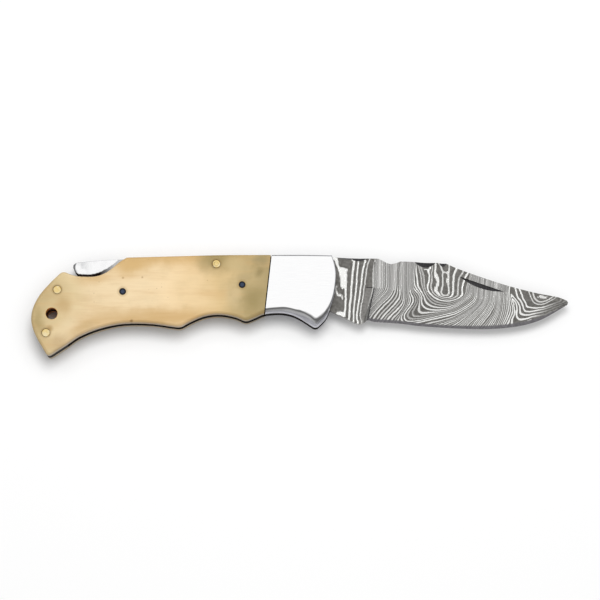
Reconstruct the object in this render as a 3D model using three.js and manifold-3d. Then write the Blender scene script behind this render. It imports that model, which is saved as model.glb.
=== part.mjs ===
// A folding pocket knife that is locked open by a bar along its back. It lies on its side:
// X runs from the butt to the blade's point, Y points to the spine, and Z is the thickness.
// The origin is on the blade's pivot axis, on the outer face of the back bolster.
// Lengths are in millimetres and angles in degrees.
import * as THREE from 'three';
import { mergeVertices } from 'three/addons/utils/BufferGeometryUtils.js';
import Module from 'manifold-3d';

const wasm = await Module();
wasm.setup();

// Layers, and the play that the moving ones have between the liners
const coverThickness = 3.7;
const coverRound = 1;
const cornerReach = 1.5;
const linerThickness = 1.2;
const bladeThickness = 2.8;
const washerThickness = 0.15;
const washerPlay = 0.05;
const lockBarPlay = 0.05;
const springPlay = 0.3;

// Pins and holes
const pivotPinDiameter = 4.8;
const brassPinDiameter = 3.2;
const scalePinDiameter = 2.5;
const rivetDiameter = 2.4;
const washerDiameter = 10.4;
const lanyardHoleDiameter = 4.5;
const turningClearance = 0.05;
const pinClearance = 0.1;
const blindSkin = 0.7;
const blindClearance = 0.3;
const roundSteps = 24;

// The blade reaches this far past the bolsters, and the handle is as long as it takes to hold
// the folded blade, with the butt beyond its point
const bladeLength = 88;
const bolsterReach = 7.6;
const bolsterTopX = 6;
const buttLength = 11.8;
const pointX = bolsterReach + bladeLength;
const buttX = -pointX - buttLength;

// The back of the handle is straight at this height and falls away towards both ends
const backHeight = 13.3;
const backEdge = [
  [buttX + 15.4, backHeight - 2.4], [buttX + 27.4, backHeight - 1.3], [-65, backHeight - 0.8],
  [-50, backHeight - 0.4], [-36, backHeight - 0.05], [-20, backHeight], [-4, backHeight],
  [bolsterTopX, backHeight - 0.2],
];

// Places on the handle, from the pivot axis
const pivot = { x: 0, y: 0 };
const rockerPin = { x: -37.7, y: backHeight - 3.45 };
const buttPins = { upper: { x: buttX + 9.7, y: 0 }, lower: { x: buttX + 5.6, y: -16.4 } };
const lanyardHole = { x: buttX + 7.7, y: -9.1 };
const scalePins = { rear: { x: buttX + 34.4, y: -0.7 }, forward: { x: -27.9, y: 1.9 } };
const bolsterRivets = { upper: { x: -12.5, y: backHeight - 6.8 }, lower: { x: -12.5, y: -3.6 } };

// The rest of the handle's outline, as smooth curves through a few points. The corners where
// they meet are rounded off, from a short reach before each to as far after it.
const cutoutStartX = buttX + 35.9;
const horn = [buttX + 11.7, 7.1];
const thumbCutout = [
  [cutoutStartX, heightAt(backEdge, cutoutStartX)], [buttX + 33.2, 10.7], [buttX + 30.8, 8.6],
  [buttX + 28, 6.55], [buttX + 24.4, 5.2], [buttX + 20.4, 5], [buttX + 16.2, 5.4], horn,
];
const toe = [buttX + 6.3, -25.3];
const buttEdge = [
  horn, [buttX + 7.1, 2.75], [buttX + 2.4, -3], [buttX, -9.6], [buttX + 1.2, -16.3], toe,
];
const rearCusp = [-51.2, -14.1];
const frontCusp = [-26.5, -11.9];
const bolsterTip = [-0.1, -14.5];
const bellyRear = [
  toe, [buttX + 12.9, -21], [buttX + 18.2, -17.4], [buttX + 25.7, -14.4], [buttX + 34.5, -12.6],
  [-62.8, -12.6], [-55, -13.6], rearCusp,
];
const bellyMiddle = [rearCusp, [-47.4, -11.9], [-42, -9.7], [-36.3, -9.1], [-30.6, -10.1], frontCusp];
const bellyFront = [
  frontCusp, [-23, -10.4], [-19.3, -8.9], [-14, -8.45], [-9.8, -9.05], [-6, -10.65], bolsterTip,
];
const bolsterFront = [
  bolsterTip, [3.4, -11], [5.3, -7], [6.9, -1.5], [bolsterReach, 5.4], [7.1, 9.6],
  [bolsterTopX, heightAt(backEdge, bolsterTopX)],
];

// Bolster and scale meet along a line that leans forward at the back
const coverJointX = -18.4;
const coverJointLean = 6.3;
const coverJointGap = 0.3;

// Blade beyond the bolsters: the spine with its thumb dip, the clip, the point and the edge
const spineBeforeDip = [24, backHeight - 0.75];
const spineAfterDip = [32.3, backHeight - 1.75];
const dipDepth = 1.5;
const clipEdge = [
  [pointX - 46.4, backHeight - 2.5], [pointX - 41.6, 8.65], [pointX - 32.5, 5.4],
  [pointX - 23.8, 2.55], [pointX - 17.4, 0.8], [pointX - 10.7, -0.8], [pointX - 4.1, -2],
  [pointX - 0.4, -3.4],
];
const nose = [pointX, -4.2];
const cuttingEdge = [
  [21.9, -11.45], [31.7, -12.1], [39.9, -13.1], [pointX - 41.2, -14], [pointX - 29.1, -14.15],
  [pointX - 18.5, -13.05], [pointX - 10.7, -10.8], [pointX - 4.6, -7.5], [pointX - 0.3, -4.9],
];
const edgeStart = [19.5, -10.8];
const grindLine = [
  [22, 1.4], [32, 0.5], [49, -2.1], [pointX - 29.6, -2.8], [pointX - 13.6, -3.4], [pointX - 0.6, -4.1],
];
const plungeLength = 1.4;
const plungeLean = 2.5;
const plungeFade = 8;
const edgeThickness = 0.3;
const pointThickness = 1.2;
const taperLength = 45.6;

// Nail nick, a crescent in the blade's front face
const nickStart = [pointX - 41.3, 5.8];
const nickEnd = [pointX - 24.2, 0];
const nickBow = 1.7;
const nickDepth = 0.6;

// Tang and lock bar. The closed blade's kick comes to rest under the bar.
const foldAngle = 169;
const lockGap = 0.3;
const camRadius = 7.6;
const notchDepth = 1.6;
const shoulderX = -2.5;
const heel = [5.5, -7.5];
const toothHeelAngle = 3;
const kickX = 16.7;
const lockBarDepth = 3.9;
const undersideY = backHeight - lockBarDepth;
const rockerPinWall = 1.7;
const toothRearX = -7.3;
const eyeY = rockerPin.y - brassPinDiameter / 2 - rockerPinWall;
const lockBarUnderside = [
  [-20, undersideY], [-29, undersideY - 0.7], [rockerPin.x, eyeY], [-46.5, eyeY + 0.4],
  [-58, eyeY + 1], [buttX + 38.4, eyeY + 0.9], [buttX + 30.4, eyeY - 0.7],
  [buttX + 23.4, eyeY - 2.1], [buttX + 18.4, eyeY - 1.9],
];
const tailTopX = buttX + 17.4;
const lockBarTail = [
  lockBarUnderside.at(-1), [buttX + 16.6, 6.5], [buttX + 15.3, 9.2], [buttX + 15.9, 10.6],
  [tailTopX, heightAt(backEdge, tailTopX)],
];

// Lock spring, and the butt spacer that holds it
const springThickness = 0.8;
const springRoot = { x: buttX + 10, y: -4.2 };
const springRootLength = 4.6;
const springRunLength = 26.8;
const springTipLength = 3.5;
const springSlotClearance = 0.15;
const spacerFrontX = buttX + 14;
const spacerShelfY = -8.5;
const pointClearance = 0.6;

// What follows from these sizes
const channelWidth = bladeThickness + 2 * (washerThickness + washerPlay);
const channelFloor = coverThickness + linerThickness;
const channelRoof = channelFloor + channelWidth;
const frontCoverFloor = channelRoof + linerThickness;
const knifeThickness = frontCoverFloor + coverThickness;
const midPlane = knifeThickness / 2;
const taperStart = pointX - taperLength;
const springBendX = springRoot.x + springRootLength;
const springContactX = springBendX + springRunLength;
const springTipX = springContactX + springTipLength;

// Blocks that cut a whole side away reach this far, past both ends of the knife
const farOff = 2 * pointX;

// A smooth run of points through the given ones
function curveThrough(points, steps) {
  const curve = new THREE.SplineCurve(points.map(([x, y]) => new THREE.Vector2(x, y)));
  return curve.getPoints(steps).map(({ x, y }) => [x, y]);
}

// The height of a curve that runs along X, at one place
function heightAt(points, x) {
  const run = curveThrough(points, 400).sort((a, b) => a[0] - b[0]);
  const passed = run.filter((point) => point[0] <= x).length;
  const next = THREE.MathUtils.clamp(passed, 1, run.length - 1);
  const [before, after] = [run[next - 1], run[next]];
  return THREE.MathUtils.mapLinear(x, before[0], after[0], before[1], after[1]);
}

function spread(from, to, steps) {
  return Array.from({ length: steps + 1 }, (_, i) => THREE.MathUtils.lerp(from, to, i / steps));
}

function backStretch(fromX, toX, steps) {
  return spread(fromX, toX, steps).map((x) => [x, heightAt(backEdge, x)]);
}

// Points on a circle about the pivot axis
function arc(radius, fromAngle, toAngle, steps) {
  return spread(fromAngle, toAngle, steps).map((angle) => {
    const turn = THREE.MathUtils.degToRad(angle);
    return [radius * Math.cos(turn), radius * Math.sin(turn)];
  });
}

function angleOf([x, y]) {
  return THREE.MathUtils.radToDeg(Math.atan2(y, x));
}

// Joins stretches of points into one outline, without doubled points
function outlineOf(...stretches) {
  const points = stretches.flat().map(([x, y]) => new THREE.Vector2(x, y));
  return new THREE.Shape(points.filter((point, i) => point.distanceTo(points.at(i - 1)) > 0.01));
}

// Rounds off the named corners of a run of points, this far along both sides of each
function roundedOff(points, corners, reach) {
  return corners.reduce((run, [cornerX, cornerY]) => {
    const corner = new THREE.Vector2(cornerX, cornerY);
    const isClose = ([x, y]) => corner.distanceTo({ x, y }) < reach;
    const [first, last] = [run.findIndex(isClose), run.findLastIndex(isClose)];
    const [from, to] = [run[first - 1], run[last + 1]].map(([x, y]) => {
      const side = new THREE.Vector2(x, y).sub(corner);
      return side.setLength(reach).add(corner);
    });
    const bend = new THREE.QuadraticBezierCurve(from, corner, to).getPoints(5);
    return [...run.slice(0, first), ...bend.map(({ x, y }) => [x, y]), ...run.slice(last + 1)];
  }, points);
}

function slab(shape, fromZ, toZ) {
  const options = { depth: toZ - fromZ, bevelEnabled: false, curveSegments: roundSteps / 2 };
  return new THREE.ExtrudeGeometry(shape, options).translate(0, 0, fromZ);
}

function rod({ x, y }, diameter, fromZ, toZ) {
  const geometry = new THREE.CylinderGeometry(diameter / 2, diameter / 2, toZ - fromZ, roundSteps);
  return geometry.rotateX(Math.PI / 2).translate(x, y, (fromZ + toZ) / 2);
}

function box(fromX, toX, fromY, toY, fromZ, toZ) {
  const geometry = new THREE.BoxGeometry(toX - fromX, toY - fromY, toZ - fromZ);
  return geometry.translate((fromX + toX) / 2, (fromY + toY) / 2, (fromZ + toZ) / 2);
}

// Cuts work on solids, which are made from geometry and turned back into it
function solidOf(geometry) {
  const bare = geometry.clone();
  bare.deleteAttribute('normal');
  bare.deleteAttribute('uv');
  const welded = mergeVertices(bare, 1e-5);
  return new wasm.Manifold(new wasm.Mesh({
    numProp: 3,
    vertProperties: new Float32Array(welded.attributes.position.array),
    triVerts: new Uint32Array(welded.index.array),
  }));
}

function geometryOf(solid) {
  const { vertProperties, triVerts } = solid.getMesh();
  const geometry = new THREE.BufferGeometry();
  geometry.setAttribute('position', new THREE.BufferAttribute(vertProperties, 3));
  geometry.setIndex(new THREE.BufferAttribute(triVerts, 1));
  geometry.computeVertexNormals();
  return geometry;
}

function cut(solid, ...tools) {
  return tools.reduce((rest, tool) => rest.subtract(solidOf(tool)), solid);
}

const finishes = {
  patternSteel: { color: '#8f8b86', roughness: 0.42, metalness: 0.9 },
  polishedSteel: { color: '#e6e6e4', roughness: 0.12, metalness: 1 },
  springSteel: { color: '#9b9ea3', roughness: 0.3, metalness: 1 },
  bone: { color: '#d9bd8b', roughness: 0.4, metalness: 0 },
  brass: { color: '#c9a65a', roughness: 0.3, metalness: 1 },
  bronze: { color: '#b08548', roughness: 0.4, metalness: 1 },
  blackened: { color: '#26272c', roughness: 0.45, metalness: 0.2 },
};

const knife = new THREE.Group();
const bladeGroup = new THREE.Group();
const lockBarGroup = new THREE.Group();
bladeGroup.position.set(0, 0, midPlane);
lockBarGroup.position.set(rockerPin.x, rockerPin.y, midPlane);
knife.add(bladeGroup, lockBarGroup);

function addPiece(name, geometry, finish, z = 0, parent = knife) {
  const mesh = new THREE.Mesh(geometry, new THREE.MeshStandardMaterial(finishes[finish]));
  mesh.name = name;
  mesh.position.z = z;
  parent.add(mesh);
}

const handleEdge = [
  ...backStretch(bolsterTopX, cutoutStartX, 14),
  ...curveThrough(thumbCutout, 22),
  ...curveThrough(buttEdge, 22),
  ...curveThrough(bellyRear, 26),
  ...curveThrough(bellyMiddle, 16),
  ...curveThrough(bellyFront, 20),
  ...curveThrough(bolsterFront, 18),
];
const handleCorners = [horn, toe, rearCusp, frontCusp, bolsterTip];
const handleOutline = outlineOf(roundedOff(handleEdge, handleCorners, cornerReach));

// The cover layer: scale and bolster of one side are ground together, rounded at their outer
// edges. Its inner face is at zero, and it lies above that at the front and below at the back.
function coverLayer(side) {
  const layer = new THREE.ExtrudeGeometry(handleOutline, {
    depth: 2 * (coverThickness - coverRound),
    bevelThickness: coverRound,
    bevelSize: coverRound,
    bevelOffset: -coverRound,
    bevelSegments: 3,
  }).translate(0, 0, coverRound - coverThickness);
  const otherSide = [0, -side * 2 * coverThickness].sort((a, b) => a - b);
  const otherHalf = box(-farOff, farOff, -farOff, farOff, ...otherSide);
  return cut(solidOf(layer), otherHalf);
}

// Everything ahead of the joint, moved along X by an offset
function aheadOfJoint(offset) {
  const block = box(offset, farOff, -farOff, farOff, -2 * coverThickness, 2 * coverThickness);
  return block.rotateZ(THREE.MathUtils.degToRad(-coverJointLean)).translate(coverJointX, 0, 0);
}

function throughHole(place, diameter) {
  return rod(place, diameter, -2 * coverThickness, 2 * coverThickness);
}

function blindHole(place, diameter, side) {
  const ends = [-side * coverThickness, side * (coverThickness - blindSkin)];
  return rod(place, diameter, Math.min(...ends), Math.max(...ends));
}

function scale(side) {
  return cut(
    coverLayer(side),
    aheadOfJoint(-coverJointGap / 2),
    throughHole(rockerPin, brassPinDiameter + 2 * pinClearance),
    throughHole(buttPins.upper, brassPinDiameter + 2 * pinClearance),
    throughHole(buttPins.lower, brassPinDiameter + 2 * pinClearance),
    throughHole(scalePins.rear, scalePinDiameter + 2 * pinClearance),
    throughHole(scalePins.forward, scalePinDiameter + 2 * pinClearance),
    throughHole(lanyardHole, lanyardHoleDiameter),
  );
}

function bolster(side) {
  return cut(
    coverLayer(side).intersect(solidOf(aheadOfJoint(coverJointGap / 2))),
    blindHole(pivot, pivotPinDiameter + 2 * pinClearance, side),
    blindHole(bolsterRivets.upper, rivetDiameter + 2 * pinClearance, side),
    blindHole(bolsterRivets.lower, rivetDiameter + 2 * pinClearance, side),
  );
}

function roundHole({ x, y }, diameter) {
  return new THREE.Path().absarc(x, y, diameter / 2, 0, 2 * Math.PI);
}

function liner() {
  const brassPins = [rockerPin, ...Object.values(buttPins)];
  const shape = handleOutline.clone();
  shape.holes = [
    roundHole(pivot, pivotPinDiameter + 2 * pinClearance),
    ...brassPins.map((pin) => roundHole(pin, brassPinDiameter + 2 * pinClearance)),
    ...Object.values(scalePins).map((pin) => roundHole(pin, scalePinDiameter + 2 * pinClearance)),
    ...Object.values(bolsterRivets).map((pin) => roundHole(pin, rivetDiameter + 2 * pinClearance)),
    roundHole(lanyardHole, lanyardHoleDiameter),
  ];
  return slab(shape, 0, linerThickness);
}

addPiece('scale_front', geometryOf(scale(1)), 'bone', frontCoverFloor);
addPiece('scale_back', geometryOf(scale(-1)), 'bone', coverThickness);
addPiece('bolster_front', geometryOf(bolster(1)), 'polishedSteel', frontCoverFloor);
addPiece('bolster_back', geometryOf(bolster(-1)), 'polishedSteel', coverThickness);
addPiece('liner_front', liner(), 'springSteel', channelRoof);
addPiece('liner_back', liner(), 'springSteel', coverThickness);

// Pins
addPiece('butt_pin_upper', rod(buttPins.upper, brassPinDiameter, 0, knifeThickness), 'brass');
addPiece('butt_pin_lower', rod(buttPins.lower, brassPinDiameter, 0, knifeThickness), 'brass');
addPiece('lock_bar_pin', rod(rockerPin, brassPinDiameter, 0, knifeThickness), 'brass');
const blindEnd = blindSkin + blindClearance;
const pivotPin = rod(pivot, pivotPinDiameter, blindEnd, knifeThickness - blindEnd);
addPiece('blade_pivot_pin', pivotPin, 'springSteel');
for (const [place, pin] of Object.entries(scalePins)) {
  const front = rod(pin, scalePinDiameter, channelRoof, knifeThickness);
  const back = rod(pin, scalePinDiameter, 0, channelFloor);
  addPiece(`scale_pin_${place}_front`, front, 'blackened');
  addPiece(`scale_pin_${place}_back`, back, 'blackened');
}
for (const [place, pin] of Object.entries(bolsterRivets)) {
  const front = rod(pin, rivetDiameter, channelRoof, knifeThickness - blindEnd);
  const back = rod(pin, rivetDiameter, blindEnd, channelFloor);
  addPiece(`bolster_rivet_${place}_front`, front, 'springSteel');
  addPiece(`bolster_rivet_${place}_back`, back, 'springSteel');
}

// Washers, seated on the liners
const washerShape = new THREE.Shape().absarc(0, 0, washerDiameter / 2, 0, 2 * Math.PI);
washerShape.holes = [roundHole(pivot, pivotPinDiameter + 2 * pinClearance)];
const washer = slab(washerShape, 0, washerThickness);
addPiece('pivot_washer_front', washer, 'bronze', channelRoof - washerThickness);
addPiece('pivot_washer_back', washer.clone(), 'bronze', channelFloor);

// Blade outline: spine, shoulder, notch, cam, heel, kick and cutting edge. The kick lies where
// folding the blade brings it to the gap under the lock bar.
const fold = THREE.MathUtils.degToRad(foldAngle);
const kickY = (undersideY - lockGap + kickX * Math.sin(fold)) / Math.cos(fold);
const notchFloor = camRadius - notchDepth;
const heelAngle = angleOf(heel) + 360;
const toothRearAngle = heelAngle - foldAngle - toothHeelAngle;
const notchRearAngle = toothRearAngle + THREE.MathUtils.radToDeg(lockGap / camRadius);
const dipMiddle = [
  (spineBeforeDip[0] + spineAfterDip[0]) / 2,
  (spineBeforeDip[1] + spineAfterDip[1]) / 2 - dipDepth,
];
const notchFloorStart = THREE.MathUtils.radToDeg(Math.acos(shoulderX / notchFloor));
const bladeOutline = outlineOf(
  [nose],
  curveThrough(clipEdge, 22).reverse(),
  curveThrough([spineAfterDip, dipMiddle, spineBeforeDip], 10),
  backStretch(bolsterTopX, shoulderX, 4),
  arc(notchFloor, notchFloorStart, notchRearAngle, 4),
  arc(camRadius, notchRearAngle, heelAngle, 22),
  [heel],
  curveThrough([
    [kickX - 2.9, kickY + 1], [kickX - 1.4, kickY + 0.3], [kickX, kickY], [kickX + 1.6, kickY + 0.7],
    edgeStart, cuttingEdge[0],
  ], 14),
  curveThrough(cuttingEdge, 26),
);

// The blade thins towards its point above the grind line, and towards its edge below it
function halfThicknessAt(x) {
  const thickness = THREE.MathUtils.mapLinear(x, taperStart, nose[0], bladeThickness, pointThickness);
  return Math.min(bladeThickness, thickness) / 2;
}

// One section of the space that the ground blade fills, across the blade at one place
function grindSection(x, lean, isGround) {
  const half = halfThicknessAt(x);
  const edgeHalf = isGround ? edgeThickness / 2 : half;
  const edgeX = x - lean;
  const corners = [
    [x, 2 * backHeight, half], [x, heightAt(grindLine, x), half],
    [edgeX, heightAt(cuttingEdge, edgeX), edgeHalf], [edgeX, -2 * backHeight, edgeHalf],
  ];
  return [...corners, ...corners.map(([cx, cy, cz]) => [cx, cy, -cz]).reverse()];
}

function loft(sections) {
  const count = sections[0].length;
  const triangles = [];
  for (let i = 0; i + 1 < sections.length; i += 1) {
    for (let j = 0; j < count; j += 1) {
      const [a, b] = [i * count + j, i * count + (j + 1) % count];
      triangles.push(a, b, a + count, b, b + count, a + count);
    }
  }
  const last = (sections.length - 1) * count;
  for (let j = 1; j + 1 < count; j += 1) {
    triangles.push(0, j + 1, j, last, last + j, last + j + 1);
  }
  const geometry = new THREE.BufferGeometry();
  geometry.setAttribute('position', new THREE.Float32BufferAttribute(sections.flat(2), 3));
  return geometry.setIndex(triangles);
}

const plungeX = grindLine[0][0] - plungeLength;
const groundSpace = loft([
  grindSection(-2 * camRadius, 0, false),
  grindSection(plungeX, plungeLean, false),
  grindSection(plungeX + plungeLength, plungeLean, true),
  ...spread(plungeX + plungeFade, nose[0] + 1, 20).map((x) => grindSection(x, 0, true)),
]);

const nickMiddle = nickStart.map((start, i) => (start + nickEnd[i]) / 2);
const nickLine = new THREE.Vector2(nickEnd[0] - nickStart[0], nickEnd[1] - nickStart[1]).normalize();
const nickShape = new THREE.Shape().moveTo(...nickEnd).lineTo(...nickStart);
nickShape.quadraticCurveTo(
  nickMiddle[0] + 2 * nickBow * nickLine.y, nickMiddle[1] - 2 * nickBow * nickLine.x, ...nickEnd,
);
const nickFloor = halfThicknessAt(nickMiddle[0]) - nickDepth;

const blade = cut(
  solidOf(slab(bladeOutline, -bladeThickness / 2, bladeThickness / 2)).intersect(solidOf(groundSpace)),
  rod(pivot, pivotPinDiameter + 2 * turningClearance, -bladeThickness, bladeThickness),
  slab(nickShape, nickFloor, bladeThickness),
);
addPiece('blade', geometryOf(blade), 'patternSteel', 0, bladeGroup);

// Lock bar: flush with the back, its nose against the tang's shoulder, its tooth over the
// cam, an eye around its pin and a deep tail under the thumb
const noseX = shoulderX - lockGap;
const toothRadius = camRadius + lockGap;
const toothFrontAngle = THREE.MathUtils.radToDeg(Math.acos(noseX / toothRadius));
const lockBarOutline = outlineOf(
  backStretch(tailTopX, noseX, 18),
  arc(toothRadius, toothFrontAngle, toothRearAngle, 4),
  [[toothRearX, undersideY]],
  curveThrough(lockBarUnderside, 26),
  curveThrough(lockBarTail, 10),
);
const lockBarHalf = channelWidth / 2 - lockBarPlay;
const lockBarHole = roundHole(rockerPin, brassPinDiameter + 2 * turningClearance);
lockBarOutline.holes = [lockBarHole];
const lockBar = slab(lockBarOutline, -lockBarHalf, lockBarHalf).translate(-rockerPin.x, -rockerPin.y, 0);
addPiece('lock_bar', lockBar, 'polishedSteel', 0, lockBarGroup);

// Lock spring: a leaf held by its root in the spacer's slot, pressing up under the bar's tail
const contactY = heightAt(lockBarUnderside, springContactX) - lockGap - springThickness / 2;
const springLine = new THREE.CurvePath();
const springPoints = {
  root: new THREE.Vector2(springRoot.x, springRoot.y),
  bend: new THREE.Vector2(springBendX, springRoot.y),
  contact: new THREE.Vector2(springContactX, contactY),
  tip: new THREE.Vector2(springTipX, contactY - springThickness / 2),
};
const springRun = springContactX - springBendX;
springLine.add(new THREE.LineCurve(springPoints.root, springPoints.bend));
springLine.add(new THREE.CubicBezierCurve(
  springPoints.bend,
  new THREE.Vector2(springBendX + springRun / 3, springRoot.y),
  new THREE.Vector2(springContactX - springRun / 3, contactY),
  springPoints.contact,
));
springLine.add(new THREE.QuadraticBezierCurve(
  springPoints.contact,
  new THREE.Vector2((springContactX + springTipX) / 2, contactY),
  springPoints.tip,
));

function strip(curve, thickness, steps) {
  const sideAt = (t, offset) => {
    const { x, y } = curve.getPointAt(t);
    const tangent = curve.getTangentAt(t);
    return [x - offset * tangent.y, y + offset * tangent.x];
  };
  const places = spread(0, 1, steps);
  const upper = places.map((t) => sideAt(t, thickness / 2));
  const lower = places.map((t) => sideAt(t, -thickness / 2));
  return outlineOf(lower, upper.reverse());
}

const springShape = strip(springLine, springThickness, 30);
const lockSpring = slab(springShape, channelFloor + springPlay, channelRoof - springPlay);
addPiece('lock_spring', lockSpring, 'springSteel');

// Butt spacer: fills the channel at the butt, with room for the closed blade's point, which
// swings past on its own radius
const pointRadius = Math.hypot(...nose) + pointClearance;
const roomTop = 180 + THREE.MathUtils.radToDeg(Math.asin(-spacerShelfY / pointRadius));
const roomBottom = 205;
const pointRoom = outlineOf(
  [[spacerFrontX / 2, -farOff / 2], [spacerFrontX / 2, spacerShelfY]],
  arc(pointRadius, roomTop, roomBottom, 20),
);
const springSlot = [
  springRoot.x - springSlotClearance, farOff,
  springRoot.y - springThickness / 2 - springSlotClearance,
  springRoot.y + springThickness / 2 + springSlotClearance,
];
const throughSpacer = [-channelWidth, 2 * channelWidth];
const spacer = cut(
  solidOf(slab(handleOutline, 0, channelWidth)),
  box(spacerFrontX, farOff, -farOff, farOff, ...throughSpacer),
  slab(pointRoom, ...throughSpacer),
  box(...springSlot, ...throughSpacer),
  rod(buttPins.upper, brassPinDiameter + 2 * pinClearance, ...throughSpacer),
  rod(buttPins.lower, brassPinDiameter + 2 * pinClearance, ...throughSpacer),
  rod(lanyardHole, lanyardHoleDiameter, ...throughSpacer),
);
addPiece('butt_spacer', geometryOf(spacer), 'springSteel', channelFloor);

export default knife;
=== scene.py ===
import math

import bmesh
import bpy
import numpy as np
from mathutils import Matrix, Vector


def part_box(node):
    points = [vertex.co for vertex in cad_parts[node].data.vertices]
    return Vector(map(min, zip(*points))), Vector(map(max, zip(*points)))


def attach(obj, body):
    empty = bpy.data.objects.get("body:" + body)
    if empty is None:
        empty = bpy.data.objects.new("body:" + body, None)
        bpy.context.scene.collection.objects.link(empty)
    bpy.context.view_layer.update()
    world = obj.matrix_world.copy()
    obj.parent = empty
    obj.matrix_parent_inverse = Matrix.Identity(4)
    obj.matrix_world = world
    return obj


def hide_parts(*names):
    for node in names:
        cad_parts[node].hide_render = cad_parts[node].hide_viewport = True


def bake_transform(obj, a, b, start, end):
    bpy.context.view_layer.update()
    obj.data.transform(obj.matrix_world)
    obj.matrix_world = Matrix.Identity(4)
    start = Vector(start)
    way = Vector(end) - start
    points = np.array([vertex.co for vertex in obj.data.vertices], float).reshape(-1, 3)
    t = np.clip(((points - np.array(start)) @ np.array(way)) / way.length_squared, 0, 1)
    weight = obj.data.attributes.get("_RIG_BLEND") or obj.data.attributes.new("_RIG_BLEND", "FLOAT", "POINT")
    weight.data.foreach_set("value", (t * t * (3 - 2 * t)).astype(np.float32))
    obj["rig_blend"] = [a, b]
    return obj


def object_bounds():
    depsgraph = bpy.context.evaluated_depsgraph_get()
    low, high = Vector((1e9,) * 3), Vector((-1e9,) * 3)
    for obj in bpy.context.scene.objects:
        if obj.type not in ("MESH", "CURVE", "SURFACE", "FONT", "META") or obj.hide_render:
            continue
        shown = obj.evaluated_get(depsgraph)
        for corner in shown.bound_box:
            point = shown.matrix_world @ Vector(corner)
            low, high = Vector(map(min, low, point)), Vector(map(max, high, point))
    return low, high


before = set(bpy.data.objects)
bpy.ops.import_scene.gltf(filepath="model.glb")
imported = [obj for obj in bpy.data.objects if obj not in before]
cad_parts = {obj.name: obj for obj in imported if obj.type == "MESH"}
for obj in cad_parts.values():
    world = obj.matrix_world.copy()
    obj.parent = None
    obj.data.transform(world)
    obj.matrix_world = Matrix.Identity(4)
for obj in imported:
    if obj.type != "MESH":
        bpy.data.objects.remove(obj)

mm = 0.001
cadLow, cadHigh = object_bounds()
middleZ = (cadLow.z + cadHigh.z) / 2
hair = 0.01 * mm              # places this near each other count as the same
cutterDepth = 30 * mm         # more than the knife is thick
print("frame loaded:", len(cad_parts), "nodes")


def workOn(piece):
    if bpy.context.object and bpy.context.object.mode != "OBJECT":
        bpy.ops.object.mode_set(mode="OBJECT")
    bpy.ops.object.select_all(action="DESELECT")
    piece.select_set(True)
    bpy.context.view_layer.objects.active = piece


def selectIn(piece, kind, test):
    # kind is "verts", "edges" or "faces"; the piece is in edit mode
    modes = {"verts": "VERT", "edges": "EDGE", "faces": "FACE"}
    bpy.ops.mesh.select_mode(type=modes[kind])
    bpy.ops.mesh.select_all(action="DESELECT")
    shape = bmesh.from_edit_mesh(piece.data)
    for part in getattr(shape, kind):
        if test(part):
            part.select_set(True)
    shape.select_flush_mode()
    bmesh.update_edit_mesh(piece.data)


def copyOf(piece, pieceName):
    # a new object with its own mesh, and none of the old one's properties
    copy = bpy.data.objects.new(pieceName, piece.data.copy())
    bpy.context.scene.collection.objects.link(copy)
    copy.data.materials.clear()
    workOn(copy)
    return copy


def copyOfNode(nodeName, pieceName):
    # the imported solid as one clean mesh: welded, with flat areas joined
    piece = copyOf(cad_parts[nodeName], pieceName)
    bpy.ops.mesh.customdata_custom_splitnormals_clear()
    bpy.ops.object.mode_set(mode="EDIT")
    bpy.ops.mesh.select_all(action="SELECT")
    bpy.ops.mesh.remove_doubles(threshold=hair / 5)
    bpy.ops.mesh.dissolve_limited(angle_limit=math.radians(0.3))
    bpy.ops.object.mode_set(mode="OBJECT")
    return piece


def applyModifier(piece, kind, **settings):
    workOn(piece)
    modifier = piece.modifiers.new(kind.lower(), kind)
    for name, value in settings.items():
        setattr(modifier, name, value)
    bpy.ops.object.modifier_apply(modifier=modifier.name)


def cutAway(piece, cutter):
    applyModifier(piece, "BOOLEAN", operation="DIFFERENCE", solver="EXACT", object=cutter)
    bpy.data.objects.remove(cutter)


def smoothShading(piece, degrees):
    workOn(piece)
    bpy.ops.object.shade_smooth_by_angle(angle=math.radians(degrees))
    applyModifier(piece, "WEIGHTED_NORMAL", keep_sharp=True, weight=90)


def finishPiece(piece, body, slotName, *nodeNames):
    workOn(piece)
    bpy.ops.object.transform_apply(location=True, rotation=True, scale=True)
    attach(piece, body)
    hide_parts(*nodeNames)


def centreOf(nodeName):
    low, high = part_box(nodeName)
    return (low + high) / 2


def linear(hexColour):
    channels = [int(hexColour[i:i + 2], 16) / 255 for i in (1, 3, 5)]
    return [c / 12.92 if c <= 0.04045 else ((c + 0.055) / 1.055) ** 2.4 for c in channels] + [1]


def addNode(tree, kind, sockets={}, output=0, stops=(), points=(), **settings):
    # sockets maps an input's name or number to a value, or to the output that feeds it; stops
    # are a colour ramp's places and colours, and points are a curve's
    node = tree.nodes.new("ShaderNode" + kind)
    for name, value in settings.items():
        setattr(node, name, value)
    for socket, value in sockets.items():
        if isinstance(value, bpy.types.NodeSocket):
            tree.links.new(value, node.inputs[socket])
        else:
            node.inputs[socket].default_value = value
    while stops and len(node.color_ramp.elements) < len(stops):
        node.color_ramp.elements.new(0.5)
    for number, (position, colour) in enumerate(stops):
        node.color_ramp.elements[number].position = position
        shade = linear(colour) if isinstance(colour, str) else [colour] * 3 + [1]
        node.color_ramp.elements[number].color = shade
    while points and len(node.mapping.curves[0].points) < len(points):
        node.mapping.curves[0].points.new(0.5, 0.5)
    for number, place in enumerate(points):
        node.mapping.curves[0].points[number].location = place
    if points:
        node.mapping.update()
    return node.outputs[output] if len(node.outputs) else node


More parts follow.
